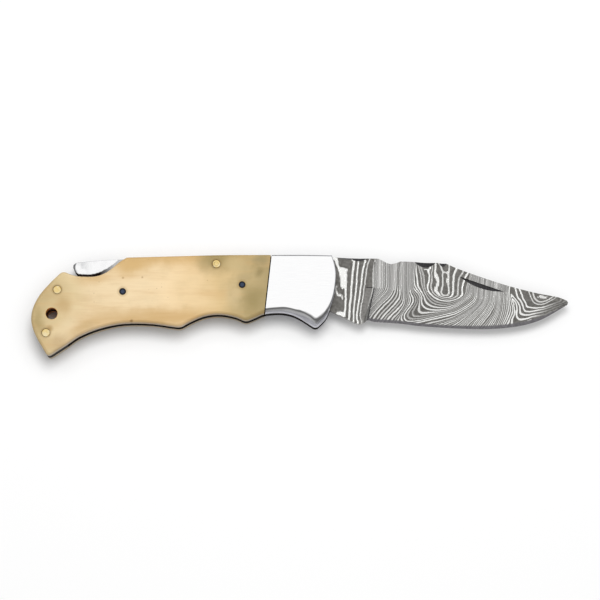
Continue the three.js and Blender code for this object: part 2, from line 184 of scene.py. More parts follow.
def newMaterial(name):
    material = bpy.data.materials.new(name)
    material.use_nodes = True
    tree = material.node_tree
    # places in millimetres, so that a pattern's scale is a count per millimetre
    place = addNode(tree, "Mapping", {
        "Vector": addNode(tree, "TexCoord", output="Object"), "Scale": (1 / mm, 1 / mm, 1 / mm)})
    return material, tree, tree.nodes["Principled BSDF"], place


def fromAxis(tree, place, x, y):
    # how many millimetres a place is from the upright line through x and y
    level = addNode(tree, "VectorMath", {0: place, 1: (1, 1, 0)}, operation="MULTIPLY")
    return addNode(tree, "VectorMath", {0: level, 1: (x, y, 0)}, "Value", operation="DISTANCE")


def fromLevel(tree, value, level):
    # how far a value is from a level, above or below it
    difference = addNode(tree, "Math", {0: value, 1: level}, operation="SUBTRACT")
    return addNode(tree, "Math", {0: difference}, operation="ABSOLUTE")


def levelness(tree, kind="Normal"):
    # 1 on a face that lies level, 0 on one that stands upright
    facing = addNode(tree, "NewGeometry", output=kind)
    facing = addNode(tree, "SeparateXYZ", {0: facing}, "Z")
    return addNode(tree, "Math", {0: facing}, operation="ABSOLUTE")


def drawnOut(tree, place, stretch, perMm, detail=2.0, roughness=0.5):
    # noise that is longer one way than another; below 1, a stretch draws it out
    stretched = addNode(tree, "Mapping", {"Vector": place, "Scale": stretch})
    return addNode(tree, "TexNoise", {
        "Vector": stretched, "Scale": perMm, "Detail": detail, "Roughness": roughness})


def tonedWhere(tree, colour, tone, value, start, full, share=1.0, easing="SMOOTHSTEP"):
    # the colour under a tone that begins where the value is at start and reaches its share,
    # from 0 to 1, where the value is at full
    amount = addNode(tree, "MapRange", {
        "Value": value, "From Min": start, "From Max": full, "To Max": share},
        interpolation_type=easing)
    return addNode(tree, "Mix", {
        "Factor": amount, "A": colour, "B": linear(tone) if isinstance(tone, str) else tone},
        "Result", data_type="RGBA")


# Studio: a sheet of white card, a round softbox and a pale room, seen from a little below
studio = {
    "cameraTilt": 8,          # degrees from straight above, towards the belly
    "cameraDistance": 1200,
    "viewWidth": 227.6,       # millimetres across the picture
    "aim": (-6.05, -3.05, 6.5),
    "cardColour": "#cecece",
    "cardGlow": 0.42,         # of the card as it is seen, so that it comes out white
    "cardShade": 10,          # millimetres from the object within which the glow fades
    "shadeAway": (0, 0.3, 0.954),   # it fades only where the object stands in this direction
    "lampPower": 7.7,
    "lampPlace": (20, 260, 1040),
    "lampSize": 460,
    "roomLight": [(0, 0.08), (0.5, 0.31), (1, 0.47)],   # from the horizon to straight above
    # what polished metal mirrors: dark card round the horizon, white overhead
    "roomMirrored": [(0, 0.5), (0.2, 0.36), (0.45, 0.12), (0.68, 0.13), (0.86, 0.5), (0.96, 1)],
    # that room is darker on the belly's side, where the photographer stands, and lighter on the
    # point's side, where a window is: what a step along x and y adds to the height mirrored
    "mirroredLean": (0.45, 0.35),
}

bpy.ops.mesh.primitive_plane_add(size=6, location=(0, 0, 0))
floor = bpy.context.object
floor.name = "floor"
floor.data.materials.append(bpy.data.materials.new("matt white card"))
floor.data.materials[0].use_nodes = True
tree = floor.data.materials[0].node_tree
card = tree.nodes["Principled BSDF"].inputs
card["Base Color"].default_value = linear(studio["cardColour"])
card["Roughness"].default_value = 0.9
card["Specular IOR Level"].default_value = 0.1
card["Emission Color"].default_value = (1, 1, 1, 1)
rays = addNode(tree, "LightPath").node.outputs
seen = addNode(tree, "Math", {0: rays["Is Camera Ray"], 1: rays["Is Glossy Ray"]},
               operation="MAXIMUM")
seen = addNode(tree, "Math", {0: seen, 1: rays["Is Transmission Ray"]}, operation="MAXIMUM")
shadeAway = addNode(tree, "CombineXYZ", dict(zip("XYZ", studio["shadeAway"])))
openness = addNode(tree, "AmbientOcclusion", {
    "Distance": studio["cardShade"] * mm, "Normal": shadeAway}, "AO", samples=16)
openness = addNode(tree, "MapRange", {"Value": openness, "From Min": 0.03, "From Max": 0.97})
glow = addNode(tree, "Math", {0: openness, 1: studio["cardGlow"]}, operation="MULTIPLY")
glow = addNode(tree, "Math", {0: glow, 1: seen}, operation="MULTIPLY")
tree.links.new(glow, card["Emission Strength"])

world = bpy.data.worlds.new("studio")
bpy.context.scene.world = world
world.use_nodes = True
tree = world.node_tree
tree.nodes.clear()
direction = addNode(tree, "TexCoord", output="Generated")
direction = addNode(tree, "SeparateXYZ", {0: direction}).node.outputs
light = addNode(tree, "ValToRGB", {"Fac": direction["Z"]}, stops=studio["roomLight"])
leanX, leanY = studio["mirroredLean"]
height = addNode(tree, "Math", {0: direction["Y"], 1: leanY, 2: direction["Z"]},
                 operation="MULTIPLY_ADD")
height = addNode(tree, "Math", {0: direction["X"], 1: leanX, 2: height}, operation="MULTIPLY_ADD")
mirrored = addNode(tree, "ValToRGB", {"Fac": height}, stops=studio["roomMirrored"])
rays = addNode(tree, "LightPath").node.outputs
sharp = addNode(tree, "Math", {0: rays["Is Glossy Ray"], 1: rays["Is Transmission Ray"]},
                operation="MAXIMUM")
room = addNode(tree, "MixShader", {0: sharp, 1: addNode(tree, "Background", {"Color": light}),
                                   2: addNode(tree, "Background", {"Color": mirrored})})
backdrop = addNode(tree, "Background", {"Color": (1, 1, 1, 1)})
room = addNode(tree, "MixShader", {0: rays["Is Camera Ray"], 1: room, 2: backdrop})
addNode(tree, "OutputWorld", {"Surface": room})

lampPlace = Vector(studio["lampPlace"]) * mm
bpy.ops.object.light_add(type="AREA", location=lampPlace)
lamp = bpy.context.object
lamp.data.shape = "DISK"
lamp.data.size = studio["lampSize"] * mm
lamp.data.energy = studio["lampPower"]
lamp.visible_glossy = False   # polished metal shows the room, not the lamp
lamp.rotation_euler = (-lampPlace).to_track_quat("-Z", "Y").to_euler()

tilt = math.radians(studio["cameraTilt"])
away = Vector((0, -math.sin(tilt), math.cos(tilt))) * studio["cameraDistance"]
bpy.ops.object.camera_add(location=(Vector(studio["aim"]) + away) * mm, rotation=(tilt, 0, 0))
camera = bpy.context.object
camera.data.lens = camera.data.sensor_width * studio["cameraDistance"] / studio["viewWidth"]
camera.data.clip_end = 100
bpy.context.scene.camera = camera
bpy.context.scene.view_settings.view_transform = "Standard"
print("studio set up")


# Covers: bone scales and bright bolsters, ground together as one slab on each side
covers = {
    "rings": (.03, .1, .2, .33, .5, .7, .9, 1.15, 1.4, 1.7, 2.0, 2.3, 2.6, 2.9, 3.2, 3.5, 3.9),
    "drop": 0.85,             # how far the rounding falls, as a share of its width
    "flat": 0.5,              # how much of it is a flat facet rather than a quarter round
    # (x, y, width) of the rounding at places round the outline, in millimetres
    "rounding": [
        (6, 13, 0.5), (-10, 13.3, 0.5), (-18, 13.3, 0.6), (-40, 13.2, 0.7), (-70, 12.3, 0.7),
        (-80, 6.6, 0.5), (-90, 5.2, 0.5), (-96, 7, 0.6), (-104, -2, 0.8), (-107, -10, 0.8),
        (-101, -24.8, 0.9), (-92, -19, 0.9), (-73, -12.6, 0.9), (-51.3, -14, 0.9), (-36, -9.2, 0.9),
        (-26.5, -11.8, 1.0), (-22.5, -10.3, 1.3), (-17, -8.8, 1.7), (-10, -9, 2.0),
        (-4, -11.8, 3.0), (0, -14.2, 3.9), (3, -11, 2.6), (5.4, -7.3, 1.2), (7, -1, 0.7),
        (7.6, 5.4, 0.5), (7.1, 9.6, 0.5),
    ],
    # the valley in the bolster's lower tip is eased separately, right of this x and below this y
    "tip": (-5, -8),
    "tipPasses": 25,
    "jointX": -18.4,
    "jointLean": 6.3,         # degrees
    "jointGap": 0.4,
    "pinReach": 2.8,          # from a pin's axis, beyond the largest hole's edge
    "lanyardHole": Vector((-99.7, -9.1, 0)) * mm,
    "lanyardRadius": 2.25,
    "holeClearance": 0.05,
    "holeSides": 64,
}
brassPinNodes = ("butt_pin_upper", "butt_pin_lower", "lock_bar_pin")
darkPinNodes = ("scale_pin_rear_front", "scale_pin_forward_front")


def roundingAt(x, y):
    # the mean of the listed widths, in which the nearest places count the most by far
    total = share = 0
    for placeX, placeY, width in covers["rounding"]:
        weight = 1 / ((x - placeX) ** 2 + (y - placeY) ** 2 + 0.2) ** 2
        total += weight * width
        share += weight
    return total / share


def distanceFrom(sides, point):
    # to the nearest of the outline's sides, each a corner and the step to the next
    nearest = math.inf
    for corner, side in sides:
        share = max(0, min(1, (point - corner).dot(side) / side.length_squared))
        nearest = min(nearest, (point - corner - side * share).length)
    return nearest


def makeCoverSlab():
    slab = copyOfNode("liner_front", "coverSlab")
    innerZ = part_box("liner_front")[1].z
    topZ = cadHigh.z
    bpy.ops.object.mode_set(mode="EDIT")
    selectIn(slab, "faces", lambda f: f.calc_center_median().z < innerZ - hair)
    bpy.ops.mesh.delete(type="FACE")
    selectIn(slab, "edges", lambda e: len(e.link_faces) == 2)
    bpy.ops.mesh.delete(type="EDGE")
    # only the outline is left: the rims of the pins' holes go too
    holes = [centreOf(name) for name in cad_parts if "pin" in name or "rivet" in name]
    holes.append(covers["lanyardHole"])
    reach = covers["pinReach"] * mm
    selectIn(slab, "verts", lambda v: any((v.co.xy - hole.xy).length < reach for hole in holes))
    bpy.ops.mesh.delete(type="VERT")
    bpy.ops.mesh.select_all(action="SELECT")
    bpy.ops.mesh.edge_face_add()
    shape = bmesh.from_edit_mesh(slab.data)
    outline = [v.co.xy.copy() for v in next(iter(shape.faces)).verts]
    bpy.ops.mesh.extrude_region_move(TRANSFORM_OT_translate={"value": (0, 0, topZ - innerZ)})
    ringBefore = 0
    for ring in covers["rings"]:
        step = (ring - ringBefore) * mm
        bpy.ops.mesh.inset(thickness=step, use_even_offset=True)
        bpy.ops.mesh.remove_doubles(threshold=1.5 * step)   # where the ring folds over itself
        ringBefore = ring
    bpy.ops.mesh.select_all(action="SELECT")
    bpy.ops.mesh.normals_make_consistent(inside=False)
    bpy.ops.object.mode_set(mode="OBJECT")
    # each point of the face falls away by its distance from the outline
    sides = [(a, b - a) for a, b in zip(outline, outline[1:] + outline[:1])]
    for v in slab.data.vertices:
        if v.co.z < topZ - hair:
            continue
        width = roundingAt(v.co.x / mm, v.co.y / mm) * mm
        share = max(0, 1 - distanceFrom(sides, v.co.xy) / width)
        quarterRound = 1 - math.sqrt(1 - share ** 2)
        level = covers["flat"] * share + (1 - covers["flat"]) * quarterRound
        v.co.z = topZ - covers["drop"] * width * level
    bpy.ops.object.mode_set(mode="EDIT")
    tipX, tipY = (place * mm for place in covers["tip"])
    selectIn(slab, "verts", lambda v: v.co.x > tipX and v.co.y < tipY
             and v.co.z > innerZ + 10 * hair and distanceFrom(sides, v.co.xy) > 15 * hair)
    bpy.ops.mesh.vertices_smooth(factor=0.5, repeat=covers["tipPasses"],
                                 xaxis=False, yaxis=False, zaxis=True)
    bpy.ops.object.mode_set(mode="OBJECT")
    return slab


def halfOfSlab(slab, pieceName, ahead):
    # the bolster, ahead of the leaning joint, or the scale behind it
    piece = copyOf(slab, pieceName)
    bpy.ops.object.mode_set(mode="EDIT")
    bpy.ops.mesh.select_all(action="SELECT")
    lean = math.radians(covers["jointLean"])
    normal = Vector((math.cos(lean), -math.sin(lean), 0))
    offset = covers["jointGap"] / 2 if ahead else -covers["jointGap"] / 2
    place = (Vector((covers["jointX"], 0, 0)) + normal * offset) * mm
    bpy.ops.mesh.bisect(plane_co=place, plane_no=normal, use_fill=True,
                        clear_inner=ahead, clear_outer=not ahead)
    bpy.ops.object.mode_set(mode="OBJECT")
    return piece


def drillHole(piece, place, radius):
    bpy.ops.mesh.primitive_cylinder_add(
        vertices=covers["holeSides"], radius=radius, depth=cutterDepth,
        location=(place.x, place.y, middleZ))
    cutAway(piece, bpy.context.object)


def turnedOver(piece, pieceName):
    # the same piece on the back of the knife
    copy = copyOf(piece, pieceName)
    bpy.ops.object.mode_set(mode="EDIT")
    bpy.ops.mesh.select_all(action="SELECT")
    bpy.ops.transform.mirror(constraint_axis=(False, False, True), orient_type="GLOBAL",
                             center_override=(0, 0, middleZ))
    bpy.ops.mesh.normals_make_consistent(inside=False)
    bpy.ops.object.mode_set(mode="OBJECT")
    return copy


coverSlab = makeCoverSlab()
bolsterFront = halfOfSlab(coverSlab, "bolsterFront", True)
scaleFront = halfOfSlab(coverSlab, "scaleFront", False)
bpy.data.objects.remove(coverSlab)
for nodeName in brassPinNodes + darkPinNodes:
    low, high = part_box(nodeName)
    drillHole(scaleFront, centreOf(nodeName), (high.x - low.x) / 2 + covers["holeClearance"] * mm)
drillHole(scaleFront, covers["lanyardHole"], covers["lanyardRadius"] * mm)
scaleBack = turnedOver(scaleFront, "scaleBack")
bolsterBack = turnedOver(bolsterFront, "bolsterBack")
for piece in (scaleFront, scaleBack, bolsterFront, bolsterBack):
    smoothShading(piece, 35)
finishPiece(scaleFront, "handle", "bone", "scale_front")
finishPiece(scaleBack, "handle", "bone", "scale_back")
finishPiece(bolsterFront, "handle", "polished_steel", "bolster_front")
finishPiece(bolsterBack, "handle", "polished_steel", "bolster_back")
print("covers made")

boneLook = {
    # (x, colour) along the handle, in millimetres from the pivot
    "alongColours": [(-107, "#c1a877"), (-102, "#d0b988"), (-96, "#e6cfa0"), (-88, "#f2d9ae"),
                     (-66, "#f8dfb4"), (-52, "#fadeb0"), (-43, "#f2d4a2"), (-36, "#e4c690"),
                     (-29, "#c4ad7b"), (-21, "#b09c6c")],
    "alongWander": 12,        # millimetres by which these tones wander
    "wanderPerMm": 0.05,
    "streakTone": "#d8b178",
    "streakPerMm": 0.16,
    "streakStretch": (0.16, 1, 0.6),   # drawn out along the bone, as its grain is
    "streakShare": 0.45,
    "grainTone": "#b98f52",
    "grainPerMm": 1.4,
    "grainStretch": (0.08, 1, 0.6),
    "grainShare": 0.09,
    "smudgeTone": "#a08c58",
    "smudgePerMm": 0.17,
    "smudgeShares": (0.08, 0.5),       # along the bone and beside the bolster
    "smudgeX": (-40.0, -20.0),         # where they begin to grow and are at their strongest
    "poreTone": "#9a7440",
    "poresPerMm": 0.55,       # coarser than real pores, which are too fine to show
    "poreShare": 0.55,
    "poreClustersPerMm": 0.09,
    # painted shade: the bone darkens in its rounding
    "roundingShadeTone": "#8f6c3a",
    "roundingShadeShare": 0.25,
    "roundingShadeReach": (6.4, 5.9),  # millimetres from the middle plane, where it begins and is full
    "endTone": "#4f3318",     # of the sawn end against the bolster
    "ragged": 1.6,            # millimetres by which a stain's edge wanders
    "raggedPerMm": 0.22,
    "stainDepth": 6,
    "ior": 1.54,
    "coat": 0.12,
    # (x, y, half length, half height, turn in degrees, colour, strength) on the front face
    "stains": [
        (-63, -10.5, 36, 5.0, 1, "#c89e5a", 0.6), (-60, 13.4, 44, 6.0, 1, "#cfa560", 0.75),
        (-70, 9.5, 10, 5, 8, "#d8b274", 0.85), (-85, 4.2, 8, 3.2, 5, "#d8b47a", 0.6),
        (-88, -15, 8, 3, 28, "#c9a56c", 0.6), (-97, -20, 5, 4, 30, "#c4a678", 0.6),
        (-21, 11.5, 3.5, 2.6, 0, "#9c8d63", 0.7),
        (-95.3, -6.0, 4.2, 4.2, 20, "#c4a068", 0.6), (-93, -12.5, 4, 2.6, 20, "#ecd8ae", 0.5),
        (-38, 11.5, 9, 6.6, 5, "#a08c58", 0.9), (-31, 10, 5, 4, 0, "#d2bb88", 0.5),
        (-23.6, -3.5, 5.5, 6.5, -15, "#9c8955", 0.75), (-21.6, 6.8, 2.6, 1.9, 30, "#8d7b4a", 0.6),
        (-27.5, 4.6, 3.4, 2.2, 0, "#b7a174", 0.6), (-31, -2, 4, 5, 0, "#d4be90", 0.6),
        (-100.5, -14.8, 1.8, 1.5, 0, "#a98548", 0.7), (-104.5, -12, 2.2, 6, 12, "#ab9560", 0.6),
        (-72.9, 4.5, 0.6, 0.5, 0, "#ab8550", 0.6), (-65.6, 4.7, 0.5, 0.5, 0, "#ab8550", 0.6),
        (-69.6, -11.9, 0.8, 0.7, 40, "#8f6430", 0.8),
    ],
    # (millimetres from a pin's axis, colour, strength) of the dirt round it
    "brassRing": (1.7, 2.5, "#94753a", 0.4),
    "darkRing": (1.2, 2.5, "#94753a", 0.4),
    # painted glow: the wall of the lanyard hole is painted bright amber, for the light that soaks through
    # the bone
    "lanyardWallGlow": (2.27, 2.36, "#f0a838", 0.95),
    "recessShadeTone": "#2a1a10",  # painted shade against the lock bar, in the thumb recess
    "recess": (-94, -78.5, 4),   # its reach along x, and the lowest y
    "recessDepth": (6.3, 6.12),  # millimetres from the middle plane, where it begins and is full
}


# Bone, degreased and polished on a wheel: cream in the middle and olive towards its ends, with amber
# streaks along the grain, a few pores, dirt round the pins, painted shade where it is rounded and in
# the thumb recess, and a painted glow in the lanyard hole
def polishedBone():
    material, tree, shader, place = newMaterial("polished bone")
    spot = addNode(tree, "SeparateXYZ", {0: place}).node.outputs
    wander = boneLook["alongWander"]
    firstX, lastX = boneLook["alongColours"][0][0], boneLook["alongColours"][-1][0]
    drift = addNode(tree, "TexNoise", {
        "Vector": place, "Scale": boneLook["wanderPerMm"], "Detail": 3.0})
    along = addNode(tree, "Math", {0: drift, 1: 2 * wander, 2: spot["X"]}, operation="MULTIPLY_ADD")
    along = addNode(tree, "MapRange", {
        "Value": along, "From Min": firstX + wander, "From Max": lastX + wander})
    colour = addNode(tree, "ValToRGB", {"Fac": along}, stops=[
        ((x - firstX) / (lastX - firstX), tone) for x, tone in boneLook["alongColours"]])

    # streaks and grain follow the bone's length
    streak = drawnOut(tree, place, boneLook["streakStretch"], boneLook["streakPerMm"], 4.0, 0.6)
    colour = tonedWhere(tree, colour, boneLook["streakTone"], streak, 0.48, 0.72,
                        boneLook["streakShare"])
    grain = drawnOut(tree, place, boneLook["grainStretch"], boneLook["grainPerMm"], 3.0, 0.6)
    colour = tonedWhere(tree, colour, boneLook["grainTone"], grain, 0.45, 0.75,
                        boneLook["grainShare"])

    # stains, with ragged edges
    ragged = addNode(tree, "TexNoise", {
        "Vector": place, "Scale": boneLook["raggedPerMm"], "Detail": 3.0}, "Color")
    ragged = addNode(tree, "VectorMath", {0: ragged, 1: (0.5, 0.5, 0.5)}, operation="SUBTRACT")
    reach = 2 * boneLook["ragged"]
    raggedPlace = addNode(tree, "VectorMath", {0: ragged, 1: (reach, reach, 0), 2: place},
                          operation="MULTIPLY_ADD")
    for x, y, length, stainHeight, turn, tone, strength in boneLook["stains"]:
        around = addNode(tree, "Mapping", {
            "Vector": raggedPlace if length > 2 else place,
            "Location": (x, y, cadHigh.z / mm), "Rotation": (0, 0, math.radians(turn)),
            "Scale": (length, stainHeight, boneLook["stainDepth"])}, vector_type="TEXTURE")
        away = addNode(tree, "VectorMath", {0: around}, "Value", operation="LENGTH")
        colour = tonedWhere(tree, colour, tone, away, 1.2, 0.15, strength)

    # smudges of grey-green, mostly near the bolster
    smudge = addNode(tree, "TexNoise", {
        "Vector": place, "Scale": boneLook["smudgePerMm"], "Detail": 3.0})
    smudge = addNode(tree, "MapRange", {
        "Value": smudge, "From Min": 0.5, "From Max": 0.75}, interpolation_type="SMOOTHSTEP")
    start, full = boneLook["smudgeX"]
    least, most = boneLook["smudgeShares"]
    nearBolster = addNode(tree, "MapRange", {
        "Value": spot["X"], "From Min": start, "From Max": full, "To Min": least, "To Max": most})
    smudge = addNode(tree, "Math", {0: smudge, 1: nearBolster}, operation="MULTIPLY")
    colour = addNode(tree, "Mix", {
        "Factor": smudge, "A": colour, "B": linear(boneLook["smudgeTone"])},
        "Result", data_type="RGBA")

    # pores, the open ends of the bone's fine canals
    pore = addNode(tree, "TexVoronoi", {
        "Vector": place, "Scale": boneLook["poresPerMm"]}, "Distance")
    pore = addNode(tree, "MapRange", {"Value": pore, "From Min": 0.13, "From Max": 0.04})
    few = addNode(tree, "TexNoise", {
        "Vector": place, "Scale": boneLook["poreClustersPerMm"], "Detail": 1.0})
    few = addNode(tree, "MapRange", {
        "Value": few, "From Min": 0.6, "From Max": 0.66, "To Max": boneLook["poreShare"]})
    pore = addNode(tree, "Math", {0: pore, 1: few}, operation="MULTIPLY")
    colour = addNode(tree, "Mix", {"Factor": pore, "A": colour, "B": linear(boneLook["poreTone"])},
                     "Result", data_type="RGBA")

    # painted shade in the rounding and in the thumb recess, dirt round the pins, and a painted glow on the
    # wall of the lanyard hole
    fromMiddle = fromLevel(tree, spot["Z"], middleZ / mm)
    colour = tonedWhere(tree, colour, boneLook["roundingShadeTone"], fromMiddle, *boneLook["roundingShadeReach"],
                        boneLook["roundingShadeShare"])
    # painted shade: a dark line on the bone's rim where it meets the lock bar, in the thumb recess
    startX, endX, lowY = boneLook["recess"]
    beside = addNode(tree, "MapRange", {
        "Value": spot["X"], "From Min": endX + 2.5, "From Max": endX - 1.5})
    after = addNode(tree, "MapRange", {
        "Value": spot["X"], "From Min": startX, "From Max": startX + 1.5})
    beside = addNode(tree, "Math", {0: beside, 1: after}, operation="MULTIPLY")
    above = addNode(tree, "MapRange", {
        "Value": spot["Y"], "From Min": lowY, "From Max": lowY + 0.5})
    beside = addNode(tree, "Math", {0: beside, 1: above}, operation="MULTIPLY")
    start, full = boneLook["recessDepth"]
    rim = addNode(tree, "MapRange", {"Value": fromMiddle, "From Min": start, "From Max": full})
    rim = addNode(tree, "Math", {0: rim, 1: beside}, operation="MULTIPLY")
    colour = addNode(tree, "Mix", {"Factor": rim, "A": colour, "B": linear(boneLook["recessShadeTone"])},
                     "Result", data_type="RGBA")
    pinDirtAndHoleGlow = [(centreOf(name), boneLook["brassRing"]) for name in brassPinNodes]
    pinDirtAndHoleGlow += [(centreOf(name), boneLook["darkRing"]) for name in darkPinNodes]
    pinDirtAndHoleGlow.append((covers["lanyardHole"], boneLook["lanyardWallGlow"]))
    for centre, (inner, outer, tone, strength) in pinDirtAndHoleGlow:
        away = fromAxis(tree, place, centre.x / mm, centre.y / mm)
        colour = tonedWhere(tree, colour, tone, away, outer, inner, strength)

    # the sawn end, sealed with dark glue
    facing = addNode(tree, "NewGeometry", output="True Normal")
    colour = tonedWhere(tree, colour, boneLook["endTone"],
                        addNode(tree, "SeparateXYZ", {0: facing}), 0.95, 0.98, easing="LINEAR")
    tree.links.new(colour, shader.inputs["Base Color"])
    shader.inputs["IOR"].default_value = boneLook["ior"]
    shader.inputs["Coat Weight"].default_value = boneLook["coat"]
    shader.inputs["Coat Roughness"].default_value = 0.15
    dull = addNode(tree, "Math", {0: grain, 1: 0.25, 2: 0.22}, operation="MULTIPLY_ADD")
    tree.links.new(dull, shader.inputs["Roughness"])
    relief = addNode(tree, "Math", {0: pore, 1: -3.0, 2: grain}, operation="MULTIPLY_ADD")
    relief = addNode(tree, "Bump", {"Height": relief, "Strength": 0.25, "Distance": 0.03 * mm})
    tree.links.new(relief, shader.inputs["Normal"])
    return material


bolsterLook = {
    "buffedTones": [(0.3, "#f9f9fa"), (0.6, "#fefefe")],
    "hairlinesPerMm": 3.0,
    "hairlineStretch": (0.05, 1.6, 0.05),
    "beltTones": [(0.3, "#b2b2b9"), (0.7, "#d6d6dc")],
    "beltLinesPerMm": 5.0,    # coarser than the belt's real ones, which are too fine to show
    "beltStretch": (0.03, 0.03, 1),
    "edgeLevelness": (0.86, 0.74),     # where the buffed face ends and the belt's grey is full
}


# Nickel silver, buffed to a mirror, with the faint haze and hairlines of a cloth wheel. Its
# edges keep the grey, even lines of the belt that the whole handle was ground on.
def buffedSilver():
    material, tree, shader, place = newMaterial("buffed nickel silver")
    hairline = drawnOut(tree, place, bolsterLook["hairlineStretch"],
                        bolsterLook["hairlinesPerMm"], 3.0, 0.7)
    buffed = addNode(tree, "ValToRGB", {"Fac": hairline}, stops=bolsterLook["buffedTones"])
    belt = drawnOut(tree, place, bolsterLook["beltStretch"], bolsterLook["beltLinesPerMm"],
                    2.0, 0.7)
    ground = addNode(tree, "ValToRGB", {"Fac": belt}, stops=bolsterLook["beltTones"])
    buffedEnd, beltStart = bolsterLook["edgeLevelness"]
    onEdge = addNode(tree, "MapRange", {
        "Value": levelness(tree), "From Min": buffedEnd, "From Max": beltStart})
    colour = addNode(tree, "Mix", {"Factor": onEdge, "A": buffed, "B": ground},
                     "Result", data_type="RGBA")
    tree.links.new(colour, shader.inputs["Base Color"])
    shader.inputs["Metallic"].default_value = 1
    gloss = addNode(tree, "Math", {0: hairline, 1: 0.05, 2: 0.03}, operation="MULTIPLY_ADD")
    gloss = addNode(tree, "Math", {0: onEdge, 1: 0.35, 2: gloss}, operation="MULTIPLY_ADD")
    tree.links.new(gloss, shader.inputs["Roughness"])
    return material


bone = polishedBone()
scaleFront.data.materials.append(bone)
scaleBack.data.materials.append(bone)
silver = buffedSilver()
bolsterFront.data.materials.append(silver)
bolsterBack.data.materials.append(silver)
print("covers finished")


# Pins: brass rods and blued steel rods, ground flush with the bone
pins = {
    "sides": 48,
    "rimBevel": 0.14,
    "dimpleShare": 0.52,      # of the rocker pin's radius
    "dimpleDepth": 0.12,
    "dimpleSlope": 0.12,      # the width of its sloping side
    "brassTone": "#f2d692",
    "brassFace": 0.72,        # the share of the radius within which the darker rim has faded
    "brassRim": "#b58a45",
    "brassHighlight": "#fff4d0",
    "brassHighlightPatchesPerMm": 0.5,
    "brassHighlightShare": 0.6,
    "toolMarksPerMm": 1.6,    # coarser than real ones, which are too fine to show
    "bluedTone": "#1b1e26",
    "bluedMiddle": "#414d64",
    "bluedReach": (1.1, 0.3), # millimetres from the axis, where the blue begins and is full
    "bluedPatchesPerMm": 2.0,
}


def makePin(nodeName, pieceName, slotName, dimpled):
    # a rod as long and wide as the node, with bevelled rims where its ends show
    low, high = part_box(nodeName)
    radius = (high.x - low.x) / 2
    bpy.ops.mesh.primitive_cylinder_add(vertices=pins["sides"], radius=radius,
                                        depth=high.z - low.z, location=centreOf(nodeName))
    pin = bpy.context.object
    pin.name = pieceName
    bpy.ops.object.transform_apply(location=True, rotation=False, scale=False)
    bpy.ops.object.mode_set(mode="EDIT")
    shown = [z for z in (low.z, high.z) if min(z - cadLow.z, cadHigh.z - z) < hair]
    for endZ in shown:
        inward = 1 if endZ < middleZ else -1
        selectIn(pin, "edges", lambda e: all(abs(v.co.z - endZ) < hair for v in e.verts))
        bpy.ops.mesh.bevel(offset=pins["rimBevel"] * mm, segments=3, profile=0.5, affect="EDGES")
        selectIn(pin, "faces", lambda f: abs(f.normal.z) > 0.99
                 and abs(f.calc_center_median().z - endZ) < hair)
        if dimpled:
            bpy.ops.mesh.inset(thickness=radius * (1 - pins["dimpleShare"]) - pins["rimBevel"] * mm)
            bpy.ops.mesh.inset(thickness=pins["dimpleSlope"] * mm)
            bpy.ops.transform.translate(value=(0, 0, inward * pins["dimpleDepth"] * mm))
    bpy.ops.object.mode_set(mode="OBJECT")
    smoothShading(pin, 35)
    finishPiece(pin, "handle", slotName, nodeName)
    return pin


# Brass rod, ground flush: circular tool marks, darker at the rim where it meets the bone, and painted
# highlights in patches
def turnedBrass(nodeName):
    material, tree, shader, place = newMaterial("ground brass rod")
    low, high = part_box(nodeName)
    centre, radius = centreOf(nodeName) / mm, (high.x - low.x) / 2 / mm
    centred = addNode(tree, "Mapping", {"Vector": place, "Location": (-centre.x, -centre.y, 0)})
    level = addNode(tree, "VectorMath", {0: centred, 1: (1, 1, 0)}, operation="MULTIPLY")
    away = addNode(tree, "VectorMath", {0: level}, "Value", operation="LENGTH")
    colour = tonedWhere(tree, linear(pins["brassRim"]), pins["brassTone"],
                        away, radius, radius * pins["brassFace"])
    # painted highlights: brighter patches on the face
    patch = addNode(tree, "TexNoise", {
        "Vector": place, "Scale": pins["brassHighlightPatchesPerMm"], "Detail": 3.0})
    colour = tonedWhere(tree, colour, pins["brassHighlight"], patch, 0.42, 0.65,
                        pins["brassHighlightShare"])
    tree.links.new(colour, shader.inputs["Base Color"])
    shader.inputs["Metallic"].default_value = 1
    gloss = addNode(tree, "Math", {0: patch, 1: 0.2, 2: 0.12}, operation="MULTIPLY_ADD")
    tree.links.new(gloss, shader.inputs["Roughness"])
    marks = addNode(tree, "TexWave", {
        "Vector": centred, "Scale": pins["toolMarksPerMm"], "Distortion": 0.4}, "Fac",
        wave_type="RINGS", rings_direction="Z")
    relief = addNode(tree, "Bump", {"Height": marks, "Strength": 0.15, "Distance": 0.02 * mm})
    tree.links.new(relief, shader.inputs["Normal"])
    return material


# Blued steel rod: nearly black, with a blue cast where the finish is thin in the middle
def bluedSteel(nodeName):
    material, tree, shader, place = newMaterial("blued steel rod")
    centre = centreOf(nodeName) / mm
    away = fromAxis(tree, place, centre.x, centre.y)
    colour = tonedWhere(tree, linear(pins["bluedTone"]), pins["bluedMiddle"],
                        away, *pins["bluedReach"])
    tree.links.new(colour, shader.inputs["Base Color"])
    shader.inputs["Metallic"].default_value = 0.6
    patch = addNode(tree, "TexNoise", {"Vector": place, "Scale": pins["bluedPatchesPerMm"]})
    gloss = addNode(tree, "Math", {0: patch, 1: 0.3, 2: 0.25}, operation="MULTIPLY_ADD")
    tree.links.new(gloss, shader.inputs["Roughness"])
    return material


for nodeName in brassPinNodes:
    pin = makePin(nodeName, "brassPin_" + nodeName, "brass", nodeName == "lock_bar_pin")
    pin.data.materials.append(turnedBrass(nodeName))
for nodeName in [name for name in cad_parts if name.startswith("scale_pin")]:
    pin = makePin(nodeName, "darkPin_" + nodeName, "blackened", False)
    pin.data.materials.append(bluedSteel(nodeName))
print("pins made")


